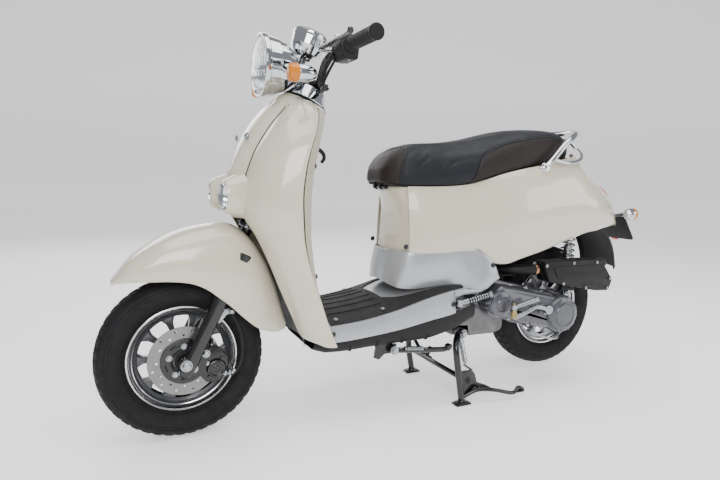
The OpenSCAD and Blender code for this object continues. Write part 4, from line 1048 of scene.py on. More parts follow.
def rear_lamps():
    shape = Shape()
    rows = []
    for x in np.linspace(-264, -205, 24):
        reach = 0.36 * math.sqrt(max(0.02, 1 - ((x + 234) / 33) ** 2))
        row = []
        for j in np.linspace(-1, 1, 25):
            p = side_point(x, abs(j) * reach) * [1, -1 if j < 0 else 1, 1]
            dome = max(0.0, (1 - j * j)) ** 0.5 * max(0.0, 1 - ((x + 234.5) / 32) ** 2) ** 0.5
            row.append(p + np.array([-10, 0, 11]) * dome + [-0.5, 0, 0.8])
        rows.append(row)
    shape.sheet(rows)
    shape.done("tail_lamp_lens", "chassis", RED, "red_lens", "rear_lamps", shell=2, inside=(-150, 0, 560),
               sharp=60)
    signal = Shape()
    signal.tube([(-240, 80, 553), (-256, 96, 558), (-266, 112, 562)], 6, 0, 14)
    signal.lathe([(0, 30), (10, 28), (17, 20), (20, 8), (20.5, 0), (19, -2)], (-278, 122, 562), (1, 0, 0),
                 1, 40, 1.5)
    signal.lathe([(19, 0), (21, 0), (21, 10), (18.5, 15), (11, 17.5), (0, 18)], (-277, 122, 562),
                 (-1, 0, 0), 2, 40, 1)
    signal.mirrored()
    signal.done("rear_signals", "chassis", [BLACK_PAINT, CHROME, AMBER], "lamp_plastic")


# Rear inner fender, licence plate holder and its lamp
GUARD = [(-150, 546), (-160, 540), (-214, 514), (-252, 476), (-276, 430), (-290, 372)]


def rear_mudguard():
    shape = Shape()
    path = catmull(GUARD, 8)
    grid = []
    for x, z in path:
        row = [[x + 10 * u * u, u * 74, z - 5 * u * u] for u in np.linspace(-1, 1, 21)]
        row = [[row[0][0] + 10, -76, row[0][2] - 8]] + row + [[row[-1][0] + 10, 76, row[-1][2] - 8]]
        grid.append(row)
    shape.sheet(grid)
    shape.done("rear_inner_fender", "chassis", BLACK_PLASTIC, "black_plastic", "rear_mudguard", shell=3,
               inside=(-60, 0, 420), sharp=60)
    down = np.array([-0.5519, 0, -0.8339])
    out = np.array([-0.8339, 0, 0.5519])
    top = np.array([-296.0, 0, 549.0])
    holder = Shape()
    outline = fillet([(0, -84), (102, -84), (102, 84), (0, 84)], 12, closed=True)
    levels = [(-2.5, 1.5), (-1.5, 0), (1, 0), (2, 1)]
    rings = [[top + down * p[0] + SIDE * p[1] - out * h for p in inset(outline, by)] for h, by in levels]
    holder.rings(rings)
    for y in (-60, 60):
        holder.bolt(top + down * 18 + SIDE * y + out * 2.4, out, 4.5, 1)
    holder.tube([(-240, 28, 508), (-268, 30, 530), (-298, 30, 548)], 7, 0, 12)
    holder.tube([(-240, -28, 508), (-268, -30, 530), (-298, -30, 548)], 7, 0, 12)
    lamp = [(-30, -8), (30, -8), (26, 10), (-26, 10)]
    at = top - down * 4 + out * 10
    holder.rings([[at + SIDE * p[0] * s + out * p[1] * s + down * h for p in fillet(lamp, 4, closed=True)]
                  for h, s in ((-8, 0.8), (-6, 1), (6, 1), (8, 0.85))])
    holder.lathe([(0, 7), (20, 7), (26, 4), (27, 0), (26, -3), (0, -3)], top + down * 86 + out * 4, out, 2,
                 40, 1)
    holder.done("plate_holder", "chassis", [BLACK_PLASTIC, ZINC, RED], "black_plastic")


def grab_rail():
    """Chrome loop behind the seat with a second, lower loop for tying luggage."""
    shape = Shape()
    half = [(150, 138, 712), (128, 147, 736), (80, 146, 784), (30, 130, 812), (-20, 92, 829),
            (-42, 40, 832)]
    loop = half + [(-46, 0, 832)] + [(x, -y, z) for x, y, z in half[::-1]]
    shape.tube(loop, 9.5, 0, 24, 10)
    low = [(122, 148, 738), (60, 144, 730), (0, 128, 738), (-50, 96, 756), (-72, 50, 782), (-66, 18, 808)]
    back = low + [(-66, -18, 808)] + [(x, -y, z) for x, y, z in low[-2::-1]]
    shape.tube(back, 6.0, 0, 18, 8)
    feet = Shape()
    feet.disc((150, 128, 712), (0, 1, 0), 14, 20, 0, 32, 3)
    feet.disc((148, 134, 710), (0, 1, 0), 18, 6, 0, 32, 1.5)
    feet.bolt((150, 148, 712), (0, 1, 0), 7, 0)
    feet.mirrored()
    shape.done("grab_rail_bars", "chassis", CHROME, "bright_chrome", "grab_rail")
    feet.done("grab_rail_feet", "chassis", CHROME, "bright_chrome")


floor()
belly()
side_panels()
lower_cover()
panel_screws()
rear_lamps()
rear_mudguard()
grab_rail()


# ---------- seat ----------

# Outline: x, lower edge z, upper edge z, half width
SEAT = [
    (-27, 756, 776, 40), (-12, 752, 806, 72), (20, 748, 830, 98), (59, 742, 839, 114), (133, 728, 836, 130),
    (216, 712, 825, 138), (300, 694, 806, 140), (352, 680, 794, 138), (409, 664, 784, 134),
    (475, 656, 776, 126),
    (545, 654, 771, 118), (600, 654, 765, 108), (634, 655, 748, 94), (656, 658, 726, 76),
    (672, 664, 702, 50),
]
# Seam round the nose: z, x. Seam round the rear insert on each side: x, z
NOSE_SEAM = [(650, 633), (691, 630), (728, 619), (763, 594), (790, 580)]
INSERT_SEAM = [
    (34, 768), (44, 792), (75, 808), (137, 809), (191, 800), (259, 787), (309, 772), (350, 753), (376, 733),
    (390, 711), (398, 690), (404, 672),
]
CUSHION_VOXEL = 0.0045
CUSHION_CAP = 0.009


def seat_form(shrink):
    """The foam before it swells: crowned along its top, flat under its base."""
    rings = []
    stations = np.concatenate([np.linspace(-27, 30, 14), np.linspace(40, 610, 50),
                               np.linspace(618, 672, 16)])
    for x in stations:
        zb, zt, w = (float(smooth(SEAT, k, x)) for k in (1, 2, 3))
        zt, w = zt - shrink, w - shrink
        h = zt - zb
        ring = []
        for a in np.linspace(-118, 118, 41):
            t = math.radians(a)
            y = w * math.copysign(abs(math.sin(t)) ** 0.72, t)
            up = math.cos(t)
            if up >= 0:
                z = zb + h * (0.30 + 0.70 * up ** 0.62)
            else:
                z = zb + h * 0.30 * (1 + up / 0.4695)
            ring.append((x, y, z))
        rings.append(ring)
    return Shape().rings(rings)


def swell(obj):
    """Lets the cover of a padded piece swell as cloth, base held, and keeps each move under the cap."""
    bpy.context.view_layer.objects.active = obj
    obj.data.remesh_voxel_size = CUSHION_VOXEL
    bpy.ops.object.voxel_remesh()
    count = len(obj.data.vertices)
    rest = np.zeros(count * 3)
    obj.data.vertices.foreach_get("co", rest)
    rest = rest.reshape(-1, 3)
    held = obj.vertex_groups.new(name="held")
    normals = np.zeros(count * 3)
    obj.data.vertices.foreach_get("normal", normals)
    low = np.nonzero(normals.reshape(-1, 3)[:, 2] < -0.6)[0]
    held.add([int(i) for i in low], 1.0, "REPLACE")
    cloth = obj.modifiers.new("swell", "CLOTH")
    cloth.settings.vertex_group_mass = "held"
    cloth.settings.use_pressure = True
    cloth.settings.uniform_pressure_force = 4
    cloth.settings.quality = 5
    cloth.settings.mass = 0.4
    cloth.settings.tension_stiffness = 25
    cloth.settings.bending_stiffness = 2
    cloth.settings.effector_weights.gravity = 0
    cloth.collision_settings.use_collision = False
    scene = bpy.context.scene
    for step in range(1, 21):
        scene.frame_set(step)
    graph = bpy.context.evaluated_depsgraph_get()
    moved = np.zeros(count * 3)
    obj.evaluated_get(graph).data.vertices.foreach_get("co", moved)
    move = moved.reshape(-1, 3) - rest
    length = np.linalg.norm(move, axis=1, keepdims=True)
    move = move * np.minimum(1.0, CUSHION_CAP / np.maximum(length, 1e-9))
    obj.modifiers.remove(cloth)
    scene.frame_set(1)
    obj.data.vertices.foreach_set("co", (rest + move).ravel())
    obj.data.update()


def in_nose(p):
    return p[0] > smooth(NOSE_SEAM, 1, p[2])


def in_insert(p):
    if not 34 < p[0] < 404 or abs(p[1]) < 60:
        return False
    return p[2] < smooth(INSERT_SEAM, 1, p[0])


def cast(tree, origin, way):
    """Point in millimetres where a ray from far out meets the cushion, and the cushion's normal there."""
    start = Vector(metres(origin)[0])
    hit = tree.ray_cast(start, Vector(way))
    if hit[0] is None:
        return None
    return np.array(hit[0]) * 1000 + [AXLE_TO_MIDDLE, 0, 0], np.array(hit[1])


def seam_round_nose(tree):
    points = []
    for a in np.linspace(-104, 104, 61):
        t = math.radians(a)
        x = 615.0
        for _ in range(5):
            way = np.array([0, math.sin(t), math.cos(t)])
            found = cast(tree, np.array([x, 0, 690]) + way * 400, -way)
            x = float(smooth(NOSE_SEAM, 1, found[0][2]))
        points.append(found)
    return points


def seam_round_insert(tree):
    points = []
    for x, z in catmull([(x, 0, z) for x, z in INSERT_SEAM], 6)[:, [0, 2]]:
        found = cast(tree, (x, 400, z), (0, -1, 0))
        if found:
            points.append(found)
    return points


def seat():
    form = seat_form(5.0)
    cushion = form.done("seat_cushion_cover", "saddle", [SEAT_BLUE, SEAT_BROWN], "seat_cover",
                        "seat_cushion")
    cushion.parent = None
    swell(cushion)
    mesh = cushion.data
    bm = bmesh.new()
    bm.from_mesh(mesh)
    bmesh.ops.smooth_vert(bm, verts=bm.verts, factor=0.5, use_axis_x=True, use_axis_y=True, use_axis_z=True)
    bmesh.ops.subdivide_edges(bm, edges=bm.edges, cuts=1, use_grid_fill=True, smooth=0.6)
    tree = BVHTree.FromBMesh(bm)
    nose, insert = seam_round_nose(tree), seam_round_insert(tree)
    for face in bm.faces:
        p = np.array(face.calc_center_median()) * 1000 + [AXLE_TO_MIDDLE, 0, 0]
        face.material_index = 1 if in_nose(p) or in_insert(p) else 0
        face.smooth = True
    # The cover is drawn in along its seams
    seams = np.array([q[0] for q in nose + insert])
    seams = np.vstack([seams, seams * [1, -1, 1]])
    for vert in bm.verts:
        p = np.array(vert.co) * 1000 + [AXLE_TO_MIDDLE, 0, 0]
        gap = np.min(np.linalg.norm(seams - p, axis=1))
        if gap < 9:
            vert.co -= vert.normal * 0.0022 * math.cos(gap / 9 * math.pi / 2) ** 2
    bm.to_mesh(mesh)
    bm.free()
    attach(cushion, "saddle")
    piping, stitches = Shape(), Shape()
    for seam, sides in ((nose, (1,)), (insert, (1, -1))):
        for side in sides:
            flip = np.array([1, side, 1])
            line = np.array([(p - n * 0.8) * flip for p, n in seam])
            piping.tube(line, 1.9, 0, 8, bend=False)
            stitch_row(stitches, [(p * flip, n * flip) for p, n in seam])
    piping.done("seat_piping", "saddle", PIPING, "seat_cover")
    stitches.done("seat_stitches", "saddle", THREAD, "seat_cover")


def stitch_row(shape, seam):
    """Short stitches beside a seam, 5 mm from it."""
    p = np.array([q[0] for q in seam])
    n = np.array([q[1] for q in seam])
    run = np.concatenate([[0], np.cumsum(np.linalg.norm(np.diff(p, axis=0), axis=1))])
    for start in np.arange(4, run[-1] - 6, 7.0):
        ends = []
        for at in (start, start + 4.2):
            point = np.array([np.interp(at, run, p[:, k]) for k in range(3)])
            out = np.array([np.interp(at, run, n[:, k]) for k in range(3)])
            ahead = np.array([np.interp(at + 2, run, p[:, k]) for k in range(3)]) - point
            across = np.cross(out, ahead)
            across = across / max(np.linalg.norm(across), 1e-6)
            ends.append(point + across * 5 - out * 0.1)
        shape.tube(ends, 0.55, 0, 6, bend=False)


seat()


# ---------- steering ----------

POD = np.array([876.0, 0.0, 1026.0])
POD_TILT = math.radians(20)
POD_AXIS = np.array([-math.sin(POD_TILT), 0.0, math.cos(POD_TILT)])
LIGHT = np.array([907.0, 0.0, 955.0])
AHEAD = np.array([1.0, 0.0, 0.0])
SIGNAL_Y = 165.0


def headlight():
    shell = Shape()
    shell.lathe([(0, 0), (14, 0.5), (26, 3), (46, 16), (62, 38), (71, 62), (76, 88), (76.5, 90), (79.5, 91),
                 (80.5, 94), (80.5, 103), (78.5, 105.5), (75, 105), (73.5, 101), (72, 92), (67, 62),
                 (58, 40), (43, 20), (24, 7), (0, 5)], LIGHT, AHEAD, 0, 96, 2.0)
    shell.tube([steer_at(CLAMP_S - 8, 4, 18), (880, 25, 926), (914, 30, 948)], 6, 1, 12)
    shell.tube([steer_at(CLAMP_S - 8, 4, -18), (880, -25, 926), (914, -30, 948)], 6, 1, 12)
    shell.bolt(LIGHT + [60, 70.5, 0], (-0.3, 1, 0), 5, 0)
    shell.bolt(LIGHT + [60, -70.5, 0], (-0.3, -1, 0), 5, 0)
    shell.done("headlight_shell", "steering", [CHROME, BLACK_PAINT], "bright_chrome", "headlight_bucket")
    inside = Shape()
    bowl = [(9, 40), (30, 46), (50, 60), (64, 78), (72.5, 97)]
    inside.lathe(catmull(bowl, 6), LIGHT, AHEAD, 0, 96)
    inside.lathe([(0, 70), (8, 69), (12, 62), (12, 48), (9, 40)], LIGHT, AHEAD, 0, 40, 1.5)
    inside.done("headlight_reflector", "steering", LAMP_MIRROR, "bright_chrome")
    lens = Shape()
    dome = catmull([(76.5, 98.5), (74, 101), (58, 107.5), (34, 112), (0, 114)], 8)
    lens.lathe(dome, LIGHT, AHEAD, 0, 96)
    lens.done("headlight_glass", "steering", CLEAR, "clear_lens", "headlight_lens", shell=2.5, inside=LIGHT)


def instruments():
    bowl = Shape()
    bowl.lathe([(0, -46), (10, -45.5), (20, -44), (34, -34), (43, -16), (46, 8), (47.5, 13), (47.5, 19),
                (45.5, 21), (43.5, 19.5), (43.5, 10)], POD, POD_AXIS, 0, 96, 1.5)
    bowl.lathe([(43.5, 11), (46.2, 14), (46.5, 21.5), (44.5, 23), (42.5, 21.5), (42.5, 13), (40, 11.5)],
               POD, POD_AXIS, 1, 96, 0.8)
    bowl.tube([POD + POD_AXIS * -40, POD + POD_AXIS * -70 + [-1, 0, 0], POD + POD_AXIS * -94 + [-1, 0, 0]],
              9, 2, 20)
    bowl.disc(POD + POD_AXIS * 9.5, POD_AXIS, 43, 1.5, 3, 64, 0.3)
    _, across, aside = basis(POD_AXIS)
    for k in range(-6, 7):
        t = math.radians(k * 20)
        way = -aside * math.cos(t) + across * math.sin(t)
        start = 34 if k % 2 else 31
        bowl.tube([POD + POD_AXIS * 11.4 + way * start, POD + POD_AXIS * 11.4 + way * 39], 0.6, 4, 6,
                  bend=False)
    needle = -aside * math.cos(2.0) - across * math.sin(2.0)
    bowl.tube([POD + POD_AXIS * 13 - needle * 6, POD + POD_AXIS * 13 + needle * 30], [1.6, 0.5], 5, 8,
              bend=False)
    bowl.disc(POD + POD_AXIS * 11, POD_AXIS, 5, 3, 1, 24, 1)
    bowl.done("instrument_bowl", "steering", [CHROME, BLACK_PLASTIC, BLACK_PAINT, GAUGE, MARKS, RED_BUTTON],
              "bright_chrome", "instrument_pod")
    glass_cover = Shape().lathe(catmull([(43, 15), (30, 17.4), (0, 18.4)], 6), POD, POD_AXIS, 0, 64)
    glass_cover.done("instrument_glass", "steering", CLEAR, "clear_lens", shell=1.5, inside=POD)


def signals():
    shape = Shape()
    shape.tube([(906, 22, 936), (918, 60, 926), (930, 120, 918), (934, SIGNAL_Y - 14, 916)], 6, 0, 16)
    centre = (914, SIGNAL_Y, 916)
    shape.lathe([(0, -1), (5, 0), (12, 4), (17.5, 14), (20.5, 30), (21, 47), (20, 48.5), (18, 48)], centre,
                AHEAD, 0, 56, 1.5)
    shape.mirrored().done("front_signal_bodies", "steering", CHROME, "bright_chrome", "front_signals")
    lens = Shape()
    lens.lathe([(20, 48), (21.6, 48.5), (21.6, 60), (21, 65), (18, 70), (11, 72), (0, 72.5)], centre,
               AHEAD, 0, 56, 1.5)
    lens.mirrored().done("front_signal_lenses", "steering", AMBER, "lamp_plastic", shell=2,
                         inside=(940, 0, 916))


def handlebar():
    shape = Shape()
    half = [steer_at(CLAMP_S, 0, 0), steer_at(CLAMP_S, 0, 32), (860, 86, 961), (GRIP_X, 122, GRIP_Z - 0.5),
            (GRIP_X, 200, GRIP_Z), (GRIP_X, BAR_HALF - 8, GRIP_Z)]
    whole = [np.array(p) * [1, -1, 1] for p in half[:0:-1]] + [np.array(p) for p in half]
    shape.tube(whole, 11, 0, 24, 10)
    shape.lathe([(16, -24), (20, -22), (20.5, 8), (18, 13), (12, 14)], steer_at(CLAMP_S), UP, 0, 40, 2)
    shape.tube([steer_at(CLAMP_S + 2, -2, -22), steer_at(CLAMP_S + 2, -2, 22)], 16, 0, 28, bend=False)
    for y in (-14, 14):
        shape.bolt(steer_at(CLAMP_S + 17, -2, y), UP, 5, 1)
    shape.done("handlebar_tube", "steering", [BLACK_PAINT, ZINC], "frame_black", "handlebar")


def housing_outline():
    arc = [(GRIP_X + 25 * math.cos(math.radians(a)), GRIP_Z + 25 * math.sin(math.radians(a)))
           for a in range(-28, 209, 12)]
    return arc + [(GRIP_X - 23, GRIP_Z - 14), (GRIP_X - 21, GRIP_Z - 30), (GRIP_X - 16, GRIP_Z - 34),
                  (GRIP_X + 12, GRIP_Z - 34), (GRIP_X + 18, GRIP_Z - 30), (GRIP_X + 21, GRIP_Z - 16)]


def bar_housing(name, node, side):
    """Switch housing with screws, and rockers on the rider's face."""
    shape = Shape()
    outline = housing_outline()
    shape.prism(outline, side * 150, side * 212, 0, 4, 3)
    shape.disc((GRIP_X, side * 148, GRIP_Z), (0, side, 0), 19, 66, 0, 40, 2)
    rear = GRIP_X - 24.5
    for z, mat in ((GRIP_Z + 12, 1), (GRIP_Z - 1, 1)):
        shape.prism([(side * 162, z - 4.5), (side * 198, z - 4.5), (side * 198, z + 4.5),
                     (side * 162, z + 4.5)],
                    rear + 3, rear - 1.2, 0, 1, 2, plane="yz")
        shape.prism([(side * 172, z - 3), (side * 184, z - 3), (side * 184, z + 3), (side * 172, z + 3)],
                    rear + 1, rear - 4.5, mat, 1, 1.5, plane="yz")
    for y in (160, 202):
        shape.bolt((GRIP_X, side * y, GRIP_Z - 34), (0, 0, -1), 3.2, 2, "pan")
    shape.done(name, "steering", [BLACK_PLASTIC, RUBBER, ZINC], "black_plastic", node)


def buttons():
    for name, node, side, mat, slot in (
        ("horn_button_cap", "horn_button", 1, RED_BUTTON, "red_button"),
        ("starter_button_cap", "starter_button", -1, YELLOW_BUTTON, "yellow_button"),
    ):
        shape = Shape().lathe([(0, 7.5), (5.4, 7.5), (5.4, 1.2), (4.6, 0.3), (2.5, 0.6), (0, 0.8)],
                              (GRIP_X - 24, side * 196, GRIP_Z - 18), AHEAD, 0, 32, 0.3)
        shape.done(name, node, mat, slot, node)


def grip(name, node, body, side):
    """Ribbed rubber grip with a collar at its inner end and a smooth end cap."""
    start, end = (214, BAR_HALF) if side > 0 else (216, BAR_HALF)
    profile = [(11.2, start), (20.5, start), (21, start + 2), (20.5, start + 5), (17.2, start + 8)]
    for y in np.arange(start + 10, end - 12, 5.0):
        profile += [(17.2, y), (16.2, y + 0.9), (16.2, y + 1.9), (17.2, y + 2.8)]
    profile += [(17.2, end - 9), (18.5, end - 7), (18.5, end - 4), (16.5, end - 1), (10, end),
                (0, end + 0.3)]
    shape = Shape().lathe(profile, (GRIP_X, 0, GRIP_Z), (0, side, 0), 0, 44)
    shape.done(name, body, RUBBER, "grip_rubber", node)


PERCH_Y = 140.0
LEVER_X = 892.0
BLADE = [
    (-9, 0), (-7, 8), (-5, 46), (-1, 84), (-2, 150), (1, 182), (3, 188), (8, 191), (13, 188), (14, 183),
    (9.5, 150), (9, 84), (7, 46), (9, 8), (9, 0), (4, -8), (-4, -8),
]


def perches():
    shape = Shape()
    at = np.array([GRIP_X, PERCH_Y, GRIP_Z])
    shape.lathe([(11.2, -8), (16, -8), (17.5, -6), (17.5, 6), (16, 8), (11.2, 8)], at, SIDE, 0, 48, 1)
    for low in (-8.0, 4.9):
        outline = [(GRIP_X + 10, -7), (LEVER_X - 2, -7.5), (LEVER_X + 6, -7), (LEVER_X + 9.5, 0),
                   (LEVER_X + 6, 7), (LEVER_X - 2, 7.5), (GRIP_X + 10, 7)]
        shape.prism([(x, PERCH_Y + y) for x, y in outline], GRIP_Z + low, GRIP_Z + low + 4, 0, 0.8, 3,
                    plane="xy")
    shape.disc((LEVER_X, PERCH_Y, GRIP_Z - 9), (0, 0, 1), 3, 19, 1, 24, 0.5)
    shape.bolt((LEVER_X, PERCH_Y, GRIP_Z + 8.9), (0, 0, 1), 4.5, 1)
    shape.prism([(GRIP_X + 10, PERCH_Y - 7), (GRIP_X + 23, PERCH_Y - 7), (GRIP_X + 23, PERCH_Y + 7),
                 (GRIP_X + 10, PERCH_Y + 7)], GRIP_Z - 8, GRIP_Z + 9, 0, 1, 2, plane="xy")
    boss = np.array([GRIP_X + 4, PERCH_Y, GRIP_Z])
    shape.lathe([(9.5, 8), (9, 12), (8.5, 18), (9.2, 21), (11.2, 24), (11.8, 27), (10.8, 32), (8, 36),
                 (4.6, 37.2), (4.05, 36.8), (4.05, 20), (0, 20)], boss, (0, 0, 1), 0, 40, 0.8)
    shape.mirrored()
    shape.done("lever_perch_castings", "steering", [CHROME, ZINC], "bright_chrome", "lever_perches")
    tank = Shape()
    tank.prism([(850, -206), (896, -206), (898, -160), (850, -158)], GRIP_Z + 13, GRIP_Z + 32, 0, 2, 6,
               plane="xy")
    tank.prism([(848, -208), (898, -208), (900, -158), (848, -156)], GRIP_Z + 32, GRIP_Z + 38, 0, 1.5, 7,
               plane="xy")
    tank.tube([(880, -150, GRIP_Z + 16), (880, -200, GRIP_Z + 16)], 9, 0, 24, bend=False)
    for x, y in ((856, -200), (890, -166)):
        tank.bolt((x, y, GRIP_Z + 38), (0, 0, 1), 3, 1, "pan")
    tank.done("brake_fluid_reservoir", "steering", [BLACK_PLASTIC, ZINC], "black_plastic")


def levers():
    for name, node, body, side in (
        ("left_lever_blade", "brake_lever_left", "left_brake_lever", 1),
        ("right_lever_blade", "brake_lever_right", "right_brake_lever", -1),
    ):
        outline = fillet([(LEVER_X + x, side * (PERCH_Y + y)) for x, y in BLADE], 5, closed=True)
        shape = Shape().prism(outline, GRIP_Z - 3.7, GRIP_Z + 4.6, 0, 2.2, plane="xy")
        shape.lathe([(0, -7.5), (5.5, -6), (7.8, 0), (5.5, 6), (0, 7.5)],
                    (LEVER_X + 7.5, side * (PERCH_Y + 184), GRIP_Z + 0.5), (0, 0, 1), 0, 28, 2)
        shape.done(name, body, BLACK_PAINT, "zinc_steel", node)


def cables():
    shape = Shape()
    for side in (1, -1):
        shape.tube([(868, side * 152, 966), (869, side * 143, 959), (872, side * 132, 949),
                    (874, side * 100, 926),
                    (858, side * 70, 910), (838, side * 42, 912), (838, side * 18, 909),
                    (846, side * 16, 890), (861, side * 16, 858), (872, side * 16, 836)], 4.3, 0, 14, 8)
    shape.tube([(862, 150, 956), (868, 132, 936), (868, 96, 911), (852, 60, 899), (838, 44, 903),
                (830, 30, 907), (832, 10, 908), (843, 4, 889), (856, 3, 862), (869, 3, 835)], 3.4, 0, 14, 8)
    # Rubber boots where the cables leave the housings
    for side in (1, -1):
        shape.lathe([(5, 0), (7.5, 1), (7.5, 5), (6, 6), (7, 8), (5.6, 10), (6.2, 12), (4.6, 15)],
                    (865, side * 158, 967), (0.5, -0.8 * side, -0.45), 0, 24, 0.5)
    shape.done("control_cable_run", "steering", RUBBER, "grip_rubber", "control_cables")


def ignition_key():
    shape = Shape()
    lock = np.array([855.6, -62.0, 770.0])
    shape.lathe([(0, 0), (9, 0), (9, 5), (8, 7), (0, 7)], lock, (-1, 0, 0), 0, 40, 0.8)
    bow = [(-1.6, -3.5), (-1.6, 3.5), (1.6, 3.5), (1.6, -3.5)]
    shape.rings([[lock + [-h, p[0], p[1]] for p in bow] for h in (6, 15)], 0)
    head = fillet([(848 - 8, 762), (848 - 22, 759.5), (848 - 23, 780.5), (848 - 8, 778)], 5, closed=True)
    shape.prism(head, -64.6, -59.4, 1, 1.2)
    shape.done("ignition_key_set", "ignition_key", [ZINC, BLACK_PLASTIC], "zinc_steel", "ignition_key")


headlight()
instruments()
signals()
handlebar()
bar_housing("left_switch_housing", "switch_block", 1)
bar_housing("right_throttle_housing", "throttle_housing", -1)
buttons()
grip("left_grip_rubber", "left_grip", "steering", 1)
grip("throttle_grip_rubber", "throttle_grip", "throttle", -1)
perches()
levers()
cables()
ignition_key()


# ---------- fork, brake and front wheel ----------

def fork():
    upper = Shape()
    for y in (-FORK_HALF, FORK_HALF):
        upper.tube([steer_at(98, 0, y), steer_at(BRIDGE_S + 8, 0, y)], 13, 0, 32, bend=False)
        upper.lathe([(13.4, 4), (16.6, 4), (16.6, 20), (15.6, 24), (13.4, 25)], steer_at(196, 0, y), UP, 1,
                    32, 1)
    upper.done("fork_stanchions", "steering", [CHROME, RUBBER], "bright_chrome")
    yoke = Shape()
    outline = [(-20, -FORK_HALF - 20), (14, -FORK_HALF - 20), (24, -24), (24, 24), (14, FORK_HALF + 20),
               (-20, FORK_HALF + 20), (-26, 30), (-26, -30)]
    ring = fillet(outline, 14, closed=True)
    yoke.rings([[steer_at(BRIDGE_S + s, n * k, y * k) for n, y in ring]
                for s, k in ((-14, 0.97), (-12, 1.0), (4, 1.0), (6, 0.97))], 0)
    yoke.lathe([(14, 0), (21, 1), (21, 12), (17, 15), (14, 16)], steer_at(BRIDGE_S + 2), UP, 0, 40, 1)
    yoke.tube([steer_at(BRIDGE_S), steer_at(786)], 13.9, 0, 32, bend=False)
    yoke.lathe([(14, 0), (23.5, 0), (24, 1), (24, 4), (22, 5), (14, 5)], steer_at(367), UP, 1, 48, 0.5)
    yoke.lathe([(14, 0), (22, 0), (22, 10), (20, 12), (14, 12)], steer_at(560), UP, 1, 48, 0.5)
    yoke.lathe([(14, -20), (19.5, -20), (20, -18), (20, 12), (18.5, 14), (14, 14)], steer_at(CLAMP_S), UP,
               0, 48, 0.5)
    for side in (1, -1):
        yoke.bolt(steer_at(CLAMP_S - 4, -14, side * 17), (0, side, 0), 6, 1)
    for y in (-FORK_HALF, FORK_HALF):
        yoke.bolt(steer_at(BRIDGE_S - 4, -24, y), -FORE, 5, 1)
    yoke.done("fork_yoke", "steering", [BLACK_PAINT, ZINC], "frame_black", "steering_stem")
    lower = Shape()
    for y in (-FORK_HALF, FORK_HALF):
        side = 1 if y > 0 else -1
        lower.lathe([(0, -34), (9, -33), (14, -28), (17.5, -20), (19, -8), (19, 150), (19.6, 156),
                     (20.2, 186), (20.2, 197), (19, 200), (14, 200.5)], steer_at(0, 2, y), UP, 0, 48, 1.5)
        lower.lathe([(6.3, -15), (15.5, -15), (17, -13), (17, 13), (15.5, 15), (6.3, 15)],
                    FRONT + [0, y, 0], (0, side, 0), 0, 40, 1)
        lower.bolt(steer_at(-26, 16, y), FORE, 5, 1)
    # Ears that carry the caliper, and the small strengthening rib behind the left leg
    lower.prism([(1196, 200), (1208, 192), (1206, 178), (1170, 174), (1164, 206), (1152, 242), (1172, 247),
                 (1188, 226)], 66.5, 75, 0, 1.5, 5)
    lower.done("fork_lower_legs", "fork_slider", [BLACK_PAINT, ZINC], "black_alloy", "fork_lowers")
    axle = Shape()
    axle.tube([FRONT + [0, -95, 0], FRONT + [0, 95, 0]], 5.8, 0, 24, bend=False)
    for side in (1, -1):
        axle.disc(FRONT + [0, side * 87, 0], (0, side, 0), 12.5, 1.8, 0, 32, 0.5)
        axle.bolt(FRONT + [0, side * 88.8, 0], (0, side, 0), 10, 0)
    axle.done("front_axle_spindle", "fork_slider", ZINC, "zinc_steel")


HOSE_LOW = [(1104, 80.6, 168), (1090, 81, 182), (1078, 80, 214), (1078, 78, 262), (1088, 77, 300),
            (1101, 76, 326)]
HOSE_HIGH = [(1101, 75.5, 330), (1102, 73, 360), (1092, 69, 396), (1080, 66, 424), (1070, 54, 452),
             (1060, 40, 470)]


